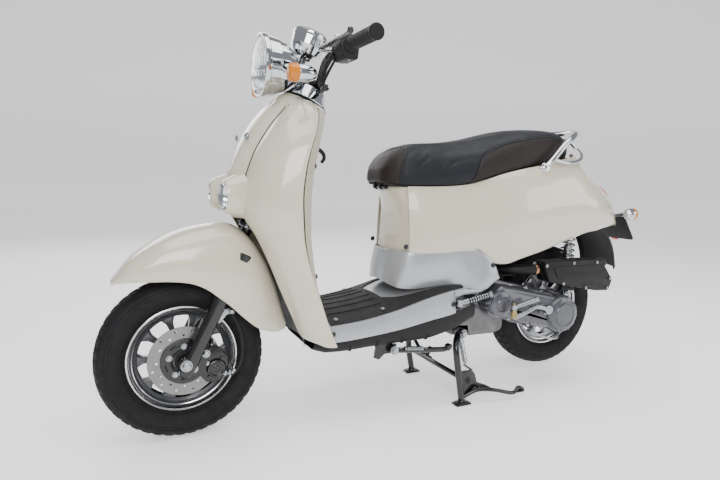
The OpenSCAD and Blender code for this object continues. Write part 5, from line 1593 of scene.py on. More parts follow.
def caliper():
    shape = Shape()
    outline = [(1176, 210), (1158, 242), (1134, 240), (1112, 215), (1108, 180), (1129, 152), (1164, 150),
               (1182, 172)]
    shape.prism(outline, 50.5, 66, 0, 2.5, 9)
    shape.prism(outline, 33, 42, 0, 2, 9)
    shape.prism([(1112, 215), (1108, 180), (1129, 152), (1140, 160), (1122, 184), (1124, 212)], 40, 52, 0,
                1, 3)
    piston = np.array([1140.0, 66.0, 186.0])
    shape.lathe([(25, -2), (24.5, 4), (22, 8.5), (19.5, 10), (17, 9), (15, 7.2), (9, 7), (7, 8.6), (0, 9)],
                piston, SIDE, 0, 48, 1)
    for angle in (35, 125, 215, 305):
        t = math.radians(angle)
        spot = piston + [27.5 * math.cos(t), 0, 27.5 * math.sin(t)]
        shape.disc(spot, SIDE, 6.5, 4, 0, 24, 1)
        if angle in (35, 215):
            shape.bolt(spot + [0, 4, 0], SIDE, 4.2, 1)
    for x, z in ((1166, 229), (1196, 194)):
        shape.disc((x, 75, z), SIDE, 9.5, 1.5, 1, 32, 0.4)
        shape.bolt((x, 76.5, z), SIDE, 7, 1)
    shape.tube([(1150, 58, 243), (1150, 58, 252)], 3.4, 1, 16, bend=False)
    shape.tube([(1150, 58, 250), (1150, 58, 259)], 4.6, 2, 16, bend=False)
    shape.lathe([(0, 0), (7, 0), (7.6, 3), (7.6, 9), (6, 12), (4, 14), (0, 14)], (1107, 66, 172), SIDE, 1,
                24, 0.6)
    shape.done("brake_caliper_body", "fork_slider", [BLACK_PAINT, ZINC, RUBBER], "black_alloy",
               "brake_caliper")
    bracket = Shape()
    bracket.prism([(1143, 316), (1149, 306), (1130, 304), (1113, 324), (1095, 326), (1095, 338),
                   (1119, 338), (1132, 322)], 70, 73, 0, 0.6, 4)
    bracket.lathe([(4.4, -5), (7.5, -5), (7.5, 5), (4.4, 5)], (1101, 75.6, 332), (0.1, 0, 1), 0, 24, 0.6)
    bracket.bolt((1142, 73, 311), SIDE, 5, 0)
    bracket.tube([(1142, 60, 311), (1142, 73, 311)], 5, 0, 16, bend=False)
    bracket.lathe([(3.6, 0), (5, 1), (5, 12), (4, 15)], (1104, 79, 170), (-0.5, 0.1, 0.8), 0, 20, 0.5)
    bracket.done("hose_clamp_bracket", "fork_slider", ZINC, "zinc_steel")
    low = Shape().tube(HOSE_LOW, 4, 0, 18, 8)
    low.done("brake_hose_lower", "fork_slider", RUBBER, "grip_rubber")
    high = Shape().tube(HOSE_HIGH, 4, 0, 18, 10)
    obj = high.done("brake_hose_upper", None, RUBBER, "grip_rubber")
    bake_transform(obj)


TREAD_TABLE = [(127.3, 18), (127.3, 25.6), (137, 28.1), (147, 37), (158, 43), (168, 45), (180, 44.4),
               (190, 41), (196.5, 36.5)]
CROWN = [(198.5, 34), (202.6, 26), (205.4, 15), (206.2, 0)]
LUGS = 44


def tyre(name, node, body, hub, slot):
    """Side walls with fine rings, a crown with blocky lugs round both shoulders and a zigzag middle."""
    shape = Shape()
    for side in (1, -1):
        wall = catmull([(r, side * y) for r, y in TREAD_TABLE], 5)
        shape.lathe([tuple(p) for p in wall], hub, SIDE, 0, 120)
        for r, y, thick in ((141.5, 31.8, 0.9), (146, 36.2, 0.7), (176, 44.7, 0.8), (184.5, 43.5, 0.8)):
            shape.lathe([(r - 1.2, side * (y - 0.9)), (r, side * (y + thick)),
                         (r + 1.2, side * (y - 0.9))], hub, SIDE, 0, 120)
    crown = [(196.5, 36.5)] + CROWN[:-1] + [(206, 0)]
    crown += [(r, -y) for r, y in CROWN[-2::-1]] + [(196.5, -36.5)]
    shape.lathe(crown, hub, SIDE, 0, 120)
    shape.lathe([(127.3, -18), (126.8, 0), (127.3, 18)], hub, SIDE, 0, 96)

    def block(corners, low, high):
        """A raised block on the crown: corners as (degrees, y) with the surface radius at that y."""
        ys = [y for r, y in CROWN[::-1]]
        rs = [r for r, y in CROWN[::-1]]
        rings = []
        for lift, shrink in ((low, 1.0), (high - 0.5, 1.0), (high, 0.9)):
            mid_a = sum(a for a, _ in corners) / len(corners)
            mid_y = sum(y for _, y in corners) / len(corners)
            ring = []
            for a, y in corners:
                a = mid_a + (a - mid_a) * shrink
                y = mid_y + (y - mid_y) * shrink
                r = np.interp(abs(y), ys, rs) + lift
                t = math.radians(a)
                ring.append(hub + [r * math.cos(t), y, r * math.sin(t)])
            rings.append(ring)
        shape.rings(rings, 0, cap_start=False)

    step = 360 / LUGS
    for k in range(LUGS):
        a = k * step
        for side in (1, -1):
            shift = 0 if side > 0 else step / 2
            block([(a + shift, side * 18), (a + shift + step * 0.66, side * 16),
                   (a + shift + step * 0.62, side * 26),
                   (a + shift + step * 0.72, side * 34), (a + shift + 0.06 * step, side * 34),
                   (a + shift + 0.02, side * 26)],
                  -2.5, 1.9)
            block([(a + shift + 0.30 * step, side * 2.4), (a + shift + 0.98 * step, side * 2.4),
                   (a + shift + 0.92 * step, side * 13.5), (a + shift + 0.22 * step, side * 14.5)], -2.0,
                   1.6)
    shape.done(name, body, TYRE, slot, node, sharp=34)


# A spoke: radius, half width, y of its face. Across it: share of the half width, depth below its face
SPOKE = [
    (27, 8.4, 13), (40, 7.4, 12.6), (58, 6.4, 11.6), (76, 6.6, 10.8), (94, 9.4, 10.4), (104, 15, 10.6),
    (110, 19, 11),
]
SPOKE_SECTION = [
    (-1, 4.2), (-0.86, 1.4), (-0.55, 0), (-0.42, 2.2), (0.42, 2.2), (0.55, 0), (0.86, 1.4), (1, 4.2),
]


def rim(name, node, body, hub, paint, slot, hub_profile, extra=None):
    """Cast wheel: a polished lip, a painted well and ten waisted spokes pressed between two faces."""
    shape = Shape()
    lip = [(127.5, 26.2), (132, 30.6), (134.5, 31.4), (136.6, 30.2), (136.8, 27.6), (133, 26.4),
           (128, 25.5)]
    well = [(127.5, 26.2), (127.2, 24), (122, 19), (116, 14), (111.5, 12.4), (108.5, 10.8)]
    for side in (1, -1):
        shape.lathe([(r, side * y) for r, y in lip], hub, SIDE, 1, 120, 0.5)
        shape.lathe([(r, side * y) for r, y in well], hub, SIDE, 0, 120, 0.5)
        shape.lathe([(124, side * 22), (122.5, side * 24.5), (120.5, side * 23.5)], hub, SIDE, 1, 96)
    for k in range(10):
        start = math.radians(k * 36)
        for side in (1, -1):
            rows = []
            for r, half, y in SPOKE:
                row = []
                for u, inset_y in SPOKE_SECTION:
                    groove = inset_y if abs(u) > 0.5 or r < 90 else 0.6
                    t = start + math.atan2(half * u, r)
                    row.append(hub + [r * math.cos(t), side * (y - groove), r * math.sin(t)])
                rows.append(row)
            shape.sheet(rows, 0)
        for edge in (-1, 1):
            rows = []
            for r, half, y in SPOKE:
                t = start + math.atan2(half * edge, r)
                rows.append([hub + [r * math.cos(t), s, r * math.sin(t)] for s in (y - 4.2, -(y - 4.2))])
            shape.sheet(rows, 0)
    shape.lathe(hub_profile, hub, SIDE, 0, 72, 1)
    stem_t = math.radians(205)
    way = np.array([math.cos(stem_t), 0, math.sin(stem_t)])
    base = hub + way * 112 + [0, 12, 0]
    shape.tube([base, base - way * 6 + [0, 4, 0], base - way * 20 + [0, 12, 0]], [4.6, 4.2, 3.2], 2, 16)
    shape.tube([base - way * 18 + [0, 11.5, 0], base - way * 27 + [0, 15, 0]], 3.9, 3, 16, bend=False)
    if extra:
        extra(shape, hub)
    shape.done(name, body, [paint, RIM_LIP, BRASS, BLACK_PLASTIC, ZINC, CAST], slot, node)


def brake_disc():
    """Pierced steel disc on a black carrier with slots and zinc bolts."""
    shape = Shape()
    holes = [(66, 12, 0.0), (78, 12, 15.0)]
    shape.lathe([(DISC_R, 44.3), (DISC_R + 0.2, 46.2), (DISC_R, 48.1)], FRONT, SIDE, 0, 120, 0.3)
    plan = bmesh.new()
    bmesh.ops.create_circle(plan, segments=144, radius=DISC_R)
    bmesh.ops.create_circle(plan, segments=96, radius=DISC_INNER_R)
    for radius, count, shift in holes:
        for k in range(count):
            t = math.radians(k * 30 + shift)
            ring = bmesh.ops.create_circle(plan, segments=14, radius=DISC_HOLE_R)["verts"]
            bmesh.ops.translate(plan, verts=ring, vec=(radius * math.cos(t), radius * math.sin(t), 0))
    bmesh.ops.triangle_fill(plan, use_beauty=True, use_dissolve=False, edges=plan.edges[:],
                            normal=(0, 0, 1))
    keep = []
    for face in plan.faces:
        c = face.calc_center_median()
        r = math.hypot(c.x, c.y)
        hit = r < DISC_INNER_R or any(
            (c.x - radius * math.cos(math.radians(k * 30 + shift))) ** 2
            + (c.y - radius * math.sin(math.radians(k * 30 + shift))) ** 2 < 9.0
            for radius, count, shift in holes for k in range(count)
        )
        if not hit:
            keep.append(face)
    plan.verts.index_update()
    points = [(v.co.x, v.co.y) for v in plan.verts]
    faces = [[v.index for v in f.verts] for f in keep]
    edges = {}
    for f in faces:
        for a, b in zip(f, f[1:] + f[:1]):
            edges[(a, b)] = edges.get((a, b), 0) + 1
    rim_edges = [(a, b) for a, b in edges if (b, a) not in edges]
    plan.free()
    top = [FRONT + [x, 48.2, z] for x, z in points]
    low = [FRONT + [x, 44.2, z] for x, z in points]
    n = len(points)
    shape.add(top + low, faces + [[i + n for i in reversed(f)] for f in faces]
              + [[a, b, b + n, a + n] for a, b in rim_edges], 0)
    shape.done("brake_disc_plate", "front_wheel", DISC, "disc_steel", "brake_disc", sharp=25)
    carrier = Shape()
    carrier.lathe([(31.5, 44), (31, 50.5), (33, 52), (40, 52), (46, 51), (57, 50.4), (58.5, 49.6),
                   (58.5, 48.3)], FRONT, SIDE,
                  0, 72, 0.6)
    for k in range(5):
        t = math.radians(k * 72 + 18)
        centre = FRONT + [38.5 * math.cos(t), 51.6, 38.5 * math.sin(t)]
        carrier.disc(centre, SIDE, 7.5, 1.4, 1, 28, 0.4)
        carrier.bolt(centre + [0, 1.4, 0], SIDE, 5.4, 1)
        t += math.radians(36)
        centre = FRONT + [46 * math.cos(t), 50.9, 46 * math.sin(t)]
        along = np.array([-math.sin(t), 0, math.cos(t)])
        carrier.tube([centre - along * 7, centre + along * 7], 3.2, 2, 12, bend=False, flat=0.45)
    carrier.lathe([(14, 50), (22, 51), (24, 56), (22.5, 58), (17, 58), (17, 52)], FRONT, SIDE, 2, 48, 0.8)
    carrier.done("disc_carrier", "front_wheel", [BLACK_PAINT, ZINC, RUBBER], "frame_black")


def wheels():
    front_hub = [(8, 43.5), (27, 43.8), (30, 42), (30.5, 24), (34, 15), (40, 12.6)]
    both = front_hub + [(r, -y) for r, y in front_hub[::-1]]
    rim("front_rim_casting", "front_rim", "front_wheel", FRONT, RIM_GREY, "grey_rim", both)
    tyre("front_tyre_tread", "front_tyre", "front_wheel", FRONT, "tyre_rubber")
    rear_hub = [(12, -43.8), (29, -43.5), (32, -41), (33, -20), (38, -12.6), (46, -12), (58, 5), (62, 8),
                (62.5, 40), (60, 43.6), (30, 43.9), (12, 43.9)]
    rim("rear_rim_casting", "rear_rim", "rear_wheel", REAR, RIM_SILVER, "silver_rim", rear_hub[::-1])
    tyre("rear_tyre_tread", "rear_tyre", "rear_wheel", REAR, "tyre_rubber")
    axle = Shape()
    axle.tube([REAR + [0, -58, 0], REAR + [0, -36, 0]], 9.4, 0, 24, bend=False)
    axle.disc(REAR + [0, -44, 0], (0, -1, 0), 20, 2.5, 0, 36, 0.5)
    axle.bolt(REAR + [0, -46.5, 0], (0, -1, 0), 15, 0)
    axle.done("rear_axle_nut", "rear_wheel", ZINC, "zinc_steel")


fork()
caliper()
brake_disc()
wheels()


# ---------- engine unit ----------

CRANK = [
    (215, 184), (250, 175), (345, 177), (400, 186), (418, 210), (418, 262), (398, 298), (345, 336),
    (285, 344), (225, 325), (213, 275), (213, 215),
]
CASE = [
    (374, 308), (330, 354), (306, 362), (100, 316), (20, 302), (-38, 280), (-58, 240), (-40, 200), (0, 184),
    (40, 185), (94, 196), (220, 225), (290, 252), (346, 277),
]
COVER_EDGE = [
    (376, 308), (328, 358), (311, 367), (200, 343), (100, 320), (29, 302), (-2, 276), (-11, 250),
    (-5, 213), (10, 192), (38, 182), (94, 193), (220, 222), (286, 250), (344, 277),
]
COVER_BOLTS = [
    (345, 330), (302, 354), (236, 342), (170, 328), (104, 311), (44, 294), (5, 267), (3, 232), (22, 201),
    (62, 197), (116, 209), (174, 222), (234, 237), (288, 262), (348, 296),
]


def engine():
    shape = Shape()
    shape.prism(CRANK, -68, 57, 0, 3, 14)
    shape.prism(CASE, 56, 95, 0, 2.5, 9)
    for y in (-44, -20, 4, 28):
        shape.prism(inset(fillet(CRANK, 14, closed=True), -2.5), y, y + 3.5, 0, 1)
    # Cooling fins on the cylinder, which lies forward from the crankcase
    for k in range(7):
        y = -38 + k * 12.5
        shape.prism([(398, 206), (466, 208), (468, 282), (444, 300), (398, 302)], y, y + 4, 0, 1, 5)
    shape.prism([(400, 212), (460, 214), (462, 276), (440, 292), (400, 296)], -36, 36, 0, 2, 6)
    shape.disc((430, -60, 300), SIDE, 18, 120, 0, 36, 2)
    shape.prism([(398, 252), (444, 290), (420, 314), (380, 304)], -40, 40, 0, 2, 6)
    shape.disc((395, -76, 200), SIDE, 14, 152, 0, 36, 1.5)
    shape.prism([(345, 178), (418, 188), (412, 214), (396, 218), (350, 214)], -60, 57, 0, 2, 6)
    shape.disc((395, -96, 200), SIDE, 7.9, 192, 1, 28, 1)
    for side in (1, -1):
        shape.bolt((395, side * 94.5, 200), (0, side, 0), 9, 1)
    shape.disc((-35, 60, 300), SIDE, 5, 32, 1, 24, 0.5)
    shape.bolt((-35, 90, 300), SIDE, 8, 1)
    shape.prism([(-62, 270), (-10, 288), (-22, 330), (-48, 330)], 56, 64, 0, 1.5, 6)
    shape.lathe([(10.1, 0), (24, 0), (26, 4), (36, 12), (42, 16)], REAR + [0, 65, 0], (0, -1, 0), 0, 48, 1)
    # Fan cover with a louvred mouth on the right
    fan = np.array([322.0, -68.2, 262.0])
    shape.lathe([(62, 0), (62, 20), (58, 26), (50, 28), (40, 28), (38, 25)], fan, (0, -1, 0), 2, 64, 1.5)
    for k in range(9):
        z = -32 + k * 8
        half = math.sqrt(max(0.0, 38.5 ** 2 - z * z))
        shape.tube([fan + [-half, -25, z], fan + [half, -25, z]], 2.0, 2, 8, bend=False)
    shape.disc(fan + [0, -3, 0], (0, -1, 0), 40, 4, 3, 48, 0.5)
    # Inlet, carburettor with its float bowl
    shape.tube([(322, -8, 334), (322, -8, 376)], 13, 3, 28, bend=False)
    shape.prism([(303, 376), (343, 376), (346, 408), (340, 412), (306, 412), (300, 406)], -26, 18, 0, 3, 5)
    shape.tube([(322, -4, 378), (322, -4, 362)], [15, 13], 0, 28, bend=False)
    for x, z in COVER_BOLTS[1:6]:
        shape.disc((x, 70, z - 8), SIDE, 7, 24.5, 0, 20, 1)
    for x, z in ((260, 178), (330, 180)):
        shape.bolt((x, 10, z), (0, 0, -1), 9, 1)
    shape.bolt((60, 76, 186), (0, -0.2, -1), 8, 1)
    # Drive hose along the case
    shape.tube([(352, 78, 316), (300, 84, 366), (240, 92, 374), (206, 96, 372)], 5, 3, 14)
    shape.done("engine_castings", "swing_unit", [CAST, ZINC, BLACK_PLASTIC, RUBBER], "engine_alloy",
               "engine_case")


def cover_dome():
    """Variator cover: a softly crowned face under protective film, a raised rim with screws and two domes."""
    shape = Shape()
    outline = fillet(COVER_EDGE, 9, closed=True)
    levels = [(95.2, 0.0), (97, -1.0), (104, -1.0), (106, 2.0), (108, 6.5), (150, 8.0), (158, 10.5),
              (163.5, 16.0), (165.6, 24.0)]
    rings = [[(x, y, z) for x, z in inset(outline, by)] for y, by in levels]
    shape.rings(rings, 0)
    for x, z, r, top in ((68, 250, 61, 184), (314, 302, 44, 175)):
        centre = np.array([x, 0, z], float)
        shape.lathe([(r, 110), (r, top - 22), (r - 1.5, top - 14), (r - 6, top - 6), (r - 13, top - 2.5),
                     (r - 21, top - 1.2), (r - 24, top - 3), (r - 27, top - 0.8), (0, top - 0.2)], centre,
                     SIDE, 0, 96)
    for k in range(12):
        t = math.radians(k * 30 + 8)
        way = np.array([math.cos(t), 0, math.sin(t)])
        base = np.array([68.0, 0, 250.0])
        shape.tube([base + way * 39 + [0, 182.2, 0], base + way * 55 + [0, 178.4, 0]], [1.4, 2.2], 0, 8,
                   bend=False)
    # Ridges that run between the two domes
    for dz in (-14, 0, 14):
        start = np.array([124.0, 164.6, 266.0 + dz])
        end = np.array([272.0, 164.6, 297.0 + dz])
        shape.tube([start, (start + end) / 2 + [0, 0.6, 0], end], [1.5, 2.6, 1.5], 0, 10)
    for x, z in COVER_BOLTS:
        shape.disc((x, 95, z), SIDE, 8.2, 14.5, 0, 24, 1.5)
        shape.bolt((x, 109.5, z), SIDE, 5, 1)
    shape.lathe([(7.2, 160), (15, 160), (15.5, 176), (14, 178.4), (7.2, 178.6)], (KICK_X, 0, KICK_Z), SIDE,
                0, 40, 1)
    shape.disc((KICK_X, 120, KICK_Z), SIDE, 6.9, 84, 1, 28, 0.6)
    shape.done("variator_cover", "swing_unit", [COVER, ZINC], "cover_grey", "cvt_cover", sharp=30)
    # Wire loop guide under the cover
    loop = Shape()
    loop.tube([(64, 100, 190), (66, 150, 178), (90, 170, 172), (150, 172, 186), (176, 160, 204),
               (178, 100, 216)], 3.2, 0, 14)
    loop.done("wire_loop_guide", "swing_unit", ZINC, "zinc_steel")


def air_box():
    shape = Shape()
    outline = [(150, 420), (-88, 418), (-124, 396), (-165, 345), (-150, 308), (-87, 312), (120, 354)]
    shape.prism(outline, 106, 136, 0, 3, 10)
    shape.prism(inset(fillet(outline, 10, closed=True), -1.5), 134, 138, 0, 1)
    shape.prism(outline, 138, 160, 0, 5, 12)
    shape.prism([(110, 402), (-70, 400), (-104, 378), (-130, 344), (-84, 330), (88, 366)], 158, 163, 0, 2,
                8)
    for x, z in ((136, 408), (20, 411), (-84, 408), (-150, 350), (-140, 318), (-40, 326), (60, 346)):
        shape.disc((x, 132, z), SIDE, 7, 30, 0, 20, 1)
        shape.bolt((x, 161.5, z), SIDE, 3.6, 1, "pan")
    shape.prism([(-40, 318), (20, 332), (20, 314), (-40, 306)], 108, 116, 0, 1)
    shape.tube([(-88, 150, 410), (-110, 152, 412), (-126, 150, 402)], 12, 0, 20)
    shape.done("air_box_shell", "swing_unit", [BLACK_PLASTIC, ZINC], "black_plastic", "air_filter_box")
    hose = Shape()
    route = catmull([(148, 130, 392), (186, 126, 394), (224, 108, 394), (254, 70, 393), (270, 28, 393),
                     (285, -3, 393), (300, -3, 393)], 8)
    radii = [16.2 + 0.9 * (1 if k % 2 else -1) for k in range(len(route))]
    hose.tube(route, radii, 0, 28, bend=False)
    for spot, way in (((156, 129, 392.4), (1, -0.1, 0.03)), ((292, -3, 393), (1, 0, 0))):
        hose.lathe([(16.6, -5), (18.4, -5), (18.8, 0), (18.4, 5), (16.6, 5)], spot, way, 1, 40, 0.4)
        hose.bolt(np.array(spot) + [0, 0, 19.5], (0, 1, 0.1), 4, 2)
    hose.done("intake_hose", "swing_unit", [RUBBER, COPPER, ZINC], "black_plastic")


def exhaust_system():
    shape = Shape()
    shape.tube([(446, -20, 207), (446, -20, 188), (440, -44, 164), (410, -68, 156), (350, -92, 160),
                (270, -112, 198), (180, -116, 220)], 11.5, 0, 24, 10)
    shape.lathe([(12, 0), (22, 0), (22, 6), (12, 6)], (446, -20, 200), (0, 0, 1), 1, 32, 1)
    start, end = np.array([172.0, -116, 220]), np.array([-210.0, -116, 262])
    way = (end - start) / np.linalg.norm(end - start)
    length = np.linalg.norm(end - start)
    shape.lathe([(11, -6), (24, -3), (38, 4), (44.5, 14), (46.6, 26), (47, 60), (47, length - 40),
                 (46.5, length - 24),
                 (43, length - 10), (34, length - 3), (12, length), (12, length + 30),
                 (9.6, length + 30.3), (9.6, length + 4)],
                start, way, 0, 72, 2)
    for h in (30, length - 44):
        shape.lathe([(46, h), (48.4, h + 1), (48.4, h + 5), (46, h + 6)], start, way, 0, 72, 0.5)
    # Heat guard, held off the silencer by three bolts
    guard = []
    for h in np.linspace(60, length - 70, 25):
        row = []
        for a in np.linspace(-0.9, 0.9, 13):
            centre = start + way * h
            outward = np.array([0, -math.cos(a), 0]) + np.array([-way[2], 0, way[0]]) * math.sin(a) * -1
            row.append(centre + outward * 52.5)
        guard.append(row)
    shape.sheet(guard, 2)
    for h in (90, length / 2, length - 100):
        shape.bolt(start + way * h + [0, -52, 0], (0, -1, 0), 5.5, 1)
    shape.prism([(20, 262), (70, 256), (60, 300), (34, 302)], -84, -78, 0, 1, 5)
    shape.done("exhaust_system", "swing_unit", [BLACK_PAINT, ZINC, CHROME], "frame_black", "exhaust")


def kick_starter():
    shape = Shape()
    boss = np.array([KICK_X, 0, KICK_Z])
    shape.lathe([(7.1, 186), (13, 186), (14.2, 188), (14.2, 201), (13, 203), (7.1, 203)], boss, SIDE, 0,
                40, 0.8)
    shape.tube([(160, 196, 279), (182, 197, 288), (210, 197, 291), (250, 197, 277), (284, 197, 268),
                (292, 197, 268)],
               [8.5, 7.6, 7, 7, 7.4, 7.4], 0, 22, 8)
    shape.bolt(boss + [12, 195, -10], (0.6, 0, -0.8), 4.5, 0)
    post = np.array([292.0, 197, 0])
    shape.lathe([(0, 265), (8, 265), (9.2, 267), (9.2, 286), (8, 289), (3.9, 289.4), (3.9, 309),
                 (3.2, 311.5), (0, 312)],
                post, (0, 0, 1), 1, 32, 0.8)
    shape.done("kick_arm", "kick_lever", [ZINC, BRASS], "zinc_steel", "kick_lever")
    pedal = Shape()
    pedal.lathe([(4.1, 290.3), (8.6, 290.3), (9.4, 292), (9.4, 303), (8.6, 304.8), (4.1, 304.8)], post,
                (0, 0, 1), 0, 32, 0.6)
    pedal.tube([(286, 198, 298), (266, 199, 303), (206, 201, 316)], [5.6, 6.2, 6.5], 0, 22, 6)
    for k in range(6):
        t = 0.3 + k * 0.11
        spot = np.array([286 - 80 * t, 198 + 3 * t, 298 + 18 * t])
        pedal.lathe([(6.0, -1.6), (7.6, -1), (7.6, 1), (6.0, 1.6)], spot, (-80, 3, 18), 0, 24, 0.3)
    pedal.lathe([(0, 0), (6, 0.5), (8, 3), (8, 7), (6.4, 8)], (203, 201.1, 316.7), (80, -3, -18), 0, 28, 1)
    pedal.done("kick_pedal_bar", "kick_pedal", ZINC, "zinc_steel", "kick_pedal")


def shock_absorber():
    top = Shape()
    at = np.array([SHOCK_X, SHOCK_Y, 0])
    top.lathe([(7.2, -8), (12, -8), (13, -7), (13, 7), (12, 8), (7.2, 8)], (SHOCK_X, SHOCK_Y, 590), SIDE,
              0, 40, 0.8)
    top.lathe([(6.2, 512), (15, 512), (16, 514), (16, 558), (24, 560.8), (25, 562), (25, 566), (23, 568),
               (16, 570), (15.4, 576), (9, 580), (0, 581)], at, (0, 0, 1), 0, 44, 0.8)
    top.done("shock_upper_tube", "chassis", BLACK_PAINT, "frame_black", "shock_body")
    rod = Shape()
    rod.lathe([(10.6, -8), (15, -8), (16, -7), (16, 7), (15, 8), (10.6, 8)], (SHOCK_X, SHOCK_Y, 300), SIDE,
              0, 40, 0.8)
    rod.lathe([(0, 315), (12, 315.5), (13, 318), (13, 360), (24, 362), (25, 363.5), (25, 367), (23.5, 368),
               (13, 368.4), (13, 456), (11, 459.5), (6, 460), (6, 523)], at, (0, 0, 1), 0, 44, 0.8)
    rod.done("shock_lower_tube", "shock_rod", [ZINC], "zinc_steel", "shock_rod")


def coil_spring():
    shape = Shape()
    at = np.array([SHOCK_X, SHOCK_Y, 0])
    turns, steps = 11.5, 30
    low, high = 370.8, 558.2
    route = []
    count = int(turns * steps)
    for k in range(count + 1):
        u = k / count
        eased = u + 0.028 * math.sin(2 * math.pi * u) * -1
        a = 2 * math.pi * turns * u
        route.append(at + [20.6 * math.cos(a), 20.6 * math.sin(a), low + (high - low) * eased])
    shape.tube(route, 3.1, 0, 10, bend=False)
    obj = shape.done("shock_coil_spring", "chassis", SPRING_STEEL, "spring_steel", "shock_spring", sharp=80)
    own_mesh(obj)


engine()
cover_dome()
air_box()
exhaust_system()
kick_starter()
shock_absorber()
coil_spring()


# ---------- stands and footrests ----------

GUSSET = [
    (444, 100), (422, 104), (396, 102), (386, 88), (378, 62), (344, 48), (318, 34), (322, 24), (380, 38),
    (424, 22), (436, 30),
]


def stand_spring(shape, start, end, mat):
    """A tension spring with its straight hook ends."""
    start, end = np.asarray(start, float), np.asarray(end, float)
    a, u, w = basis(end - start)
    length = np.linalg.norm(end - start)
    low, high, turns = 14.0, length - 14.0, 16
    route = [start]
    for k in range(turns * 8 + 1):
        t = 2 * math.pi * k / 8
        along = low + (high - low) * k / (turns * 8)
        route.append(start + a * along + 5.2 * (math.cos(t) * u + math.sin(t) * w))
    route.append(end)
    shape.tube(route, 1.5, mat, 6, bend=False)


def centre_stand():
    shape = Shape()
    for side in (1, -1):
        shape.lathe([(9.2, -7), (14, -7), (15, -6), (15, 6), (14, 7), (9.2, 7)], (395, side * 87, 200),
                    (0, side, 0), 0, 36, 0.6)
        leg = [(404, side * 88, 202), (428, side * 108, 198), (450, side * 134, 172), (444, side * 146, 88),
               (431, side * 146, 14)]
        shape.tube(leg, [9.4, 10, 10, 10, 10], 0, 24, 8)
        shape.prism([(403, side * 130), (457, side * 130), (457, side * 162), (403, side * 162)], 0, 5, 0,
                    1, 5, plane="xy")
        shape.prism([(408, side * 133), (452, side * 133), (452, side * 160), (408, side * 160)], 4, 8.5,
                    0, 1, 8, plane="xy")
        shape.lathe([(10, 0), (12.5, 0.6), (11, 4), (10, 5)], (430.7, side * 146, 9), (0.08, 0, 1), 0, 24,
                    0.5)
    shape.tube([(444, -146, 88), (444, 146, 88)], 8, 0, 24, bend=False)
    shape.tube([(446, -140, 150), (438, -70, 96), (436, -20, 90)], 6, 0, 18)
    shape.tube([(438, -40, 96), (424, -40, 116)], 7, 0, 20, bend=False)
    shape.lathe([(7, 0), (11, 1), (11.5, 3), (11, 10), (8, 12), (0, 12.4)], (426, -40, 109),
                (-0.57, 0, 0.82), 1, 32, 1)
    # Gusset with its two lightening holes as raised eyes
    shape.prism(GUSSET, 143, 149, 0, 1, 4)
    for x, z, r in ((412, 72, 11), (372, 47, 6)):
        shape.lathe([(r - 2, 0), (r, 0), (r + 1.4, 1.2), (r - 1, 1.6), (r - 2, 0.6)], (x, 148.6, z), SIDE,
                    0, 28, 0.2)
        shape.disc((x, 148.2, z), SIDE, r - 1, 1.0, 3, 28, 0.2)
    shape.tube([(428, 148, 22), (384, 160, 42), (330, 172, 38), (262, 177, 20), (240, 177, 34),
                (222, 177, 26)], 6, 0, 20, 8)
    shape.prism([(248, 169), (224, 168), (217, 172), (217, 182), (224, 186), (248, 185)], 20, 26, 0, 1.5,
                4, plane="xy")
    for y in (118, 126):
        stand_spring(shape, (396, y - 8, 104), (420, y - 14, 206), 2)
    shape.tube([(396, 104, 104), (396, 148, 100)], 3.6, 2, 16, bend=False)
    shape.done("centre_stand_tubes", "centre_stand", [BLACK_PAINT, RUBBER, ZINC, BLACK_PLASTIC],
               "frame_black", "centre_stand")


def side_stand():
    shape = Shape()
    hub = np.array([666.0, 137, 196])
    shape.lathe([(7.2, -5), (11, -5), (12, -4), (12, 4), (11, 5), (7.2, 5)], hub, SIDE, 0, 36, 0.6)
    shape.tube([(656, 139, 194), (580, 140.5, 186), (500, 141, 178), (484, 141, 185)], [8, 8, 7.6, 8], 0,
               22, 6)
    shape.prism([(494, 176), (486, 173), (475, 181), (474, 191), (482, 194), (492, 190)], 134, 150, 0, 1.5,
                4)
    shape.disc(hub + [0, 4.5, 0], SIDE, 11, 3, 1, 32, 0.5)
    shape.bolt(hub + [0, 7.5, 0], SIDE, 9, 1)
    stand_spring(shape, (648, 145, 200), (560, 146, 190), 1)
    shape.done("side_stand_leg", "side_stand", [BLACK_PAINT, ZINC], "frame_black", "side_stand")


def footrests():
    for side, node in ((1, "peg_left"), (-1, "peg_right")):
        shape = Shape()
        hub = np.array([470.0, side * 171, 0])
        shape.lathe([(4.2, 310), (8, 310), (9, 311.5), (9, 328.5), (8, 330), (4.2, 330)], hub, (0, 0, 1),
                    0, 32, 0.6)
        shape.tube([(462, side * 171.5, 321), (420, side * 172, 328), (362, side * 173, 338)], [6.6, 8, 8],
                   0, 24, 6)
        way = np.array([-100, side * 1.5, 17.0]) / np.linalg.norm([-100, 1.5, 17.0])
        for k in range(9):
            spot = np.array([440, side * 171.9, 325.0]) + way * 8.4 * k
            shape.lathe([(7.6, -1.8), (9.2, -1.2), (9.2, 1.2), (7.6, 1.8)], spot, way, 1, 28, 0.3)
        shape.lathe([(7.8, -3), (10.4, -2), (10.6, 0), (9, 2.4), (0, 3.2)], (362, side * 173, 338), way, 0,
                    32, 1)
        hand = node[4:]
        shape.done("footrest_" + hand, hand + "_peg", [ZINC, RUBBER], "zinc_steel", node)


centre_stand()
side_stand()
footrests()


# ---------- pieces that stay as the frame made them ----------

CARRIED = {
    "main_frame": BLACK_PAINT, "storage_box": BLACK_PLASTIC, "fuel_tank": BLACK_PAINT,
    "battery": BLACK_PLASTIC, "seat_pan": BLACK_PLASTIC, "fuel_cap": BLACK_PLASTIC,
}


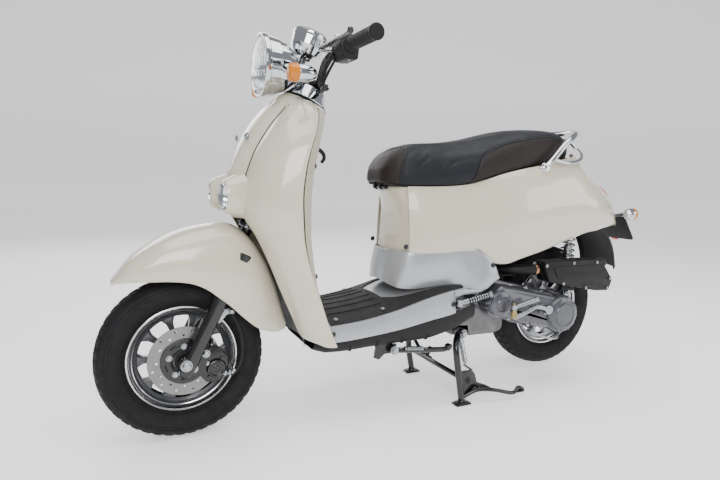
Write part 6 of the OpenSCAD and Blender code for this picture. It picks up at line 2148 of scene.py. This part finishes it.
def dress_frame():
    for node, material in CARRIED.items():
        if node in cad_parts:
            mesh = bpy.data.objects[node].data
            for slot in range(max(1, len(mesh.materials))):
                if slot < len(mesh.materials):
                    mesh.materials[slot] = material
                else:
                    mesh.materials.append(material)


# ---------- studio ----------

def studio():
    floor_mesh = bpy.data.meshes.new("studio_floor")
    reach, rise = 14.0, 9.0
    curve = [(-6.0, 0.0)]
    curve += [(reach - 3 + 3 * math.sin(math.radians(a)), 3 - 3 * math.cos(math.radians(a)))
              for a in range(0, 91, 6)]
    curve += [(reach, rise)]
    away = np.array([-0.433, -0.90])
    across = np.array([away[1], -away[0]])
    points, faces = [], []
    for along, z in curve:
        for side in (-16.0, 16.0):
            x, y = away * along + across * side
            points.append((x, y, z))
    for i in range(len(curve) - 1):
        faces.append((2 * i, 2 * i + 2, 2 * i + 3, 2 * i + 1))
    floor_mesh.from_pydata(points, [], faces)
    floor_mesh.materials.append(STUDIO_FLOOR)
    for p in floor_mesh.polygons:
        p.use_smooth = True
    obj = bpy.data.objects.new("studio_floor", floor_mesh)
    bpy.context.scene.collection.objects.link(obj)


def area_light(name, place, aim, size, watts, colour=(1, 1, 1)):
    data = bpy.data.lights.new(name, "AREA")
    data.shape = "RECTANGLE"
    data.size, data.size_y = size
    data.energy = watts
    data.color = colour
    obj = bpy.data.objects.new(name, data)
    obj.location = place
    obj.rotation_euler = (Vector(aim) - Vector(place)).to_track_quat("-Z", "Y").to_euler()
    bpy.context.scene.collection.objects.link(obj)


def lights():
    world = bpy.data.worlds.new("studio_world")
    world.use_nodes = True
    world.node_tree.nodes["Background"].inputs["Color"].default_value = (0.93, 0.95, 1.0, 1)
    world.node_tree.nodes["Background"].inputs["Strength"].default_value = 0.4
    bpy.context.scene.world = world
    area_light("overhead", (0.0, 0.4, 3.4), (0.0, 0.0, 0.4), (4.2, 2.6), 120)
    area_light("key", (1.6, 3.6, 2.3), (0.1, 0.0, 0.5), (2.8, 2.0), 130)
    area_light("fill", (-3.4, 2.6, 1.6), (-0.2, 0.0, 0.5), (2.4, 2.0), 45)
    area_light("back", (0.6, -3.6, 2.4), (0.0, 0.0, 0.6), (3.4, 1.8), 70)


dress_frame()
studio()
lights()
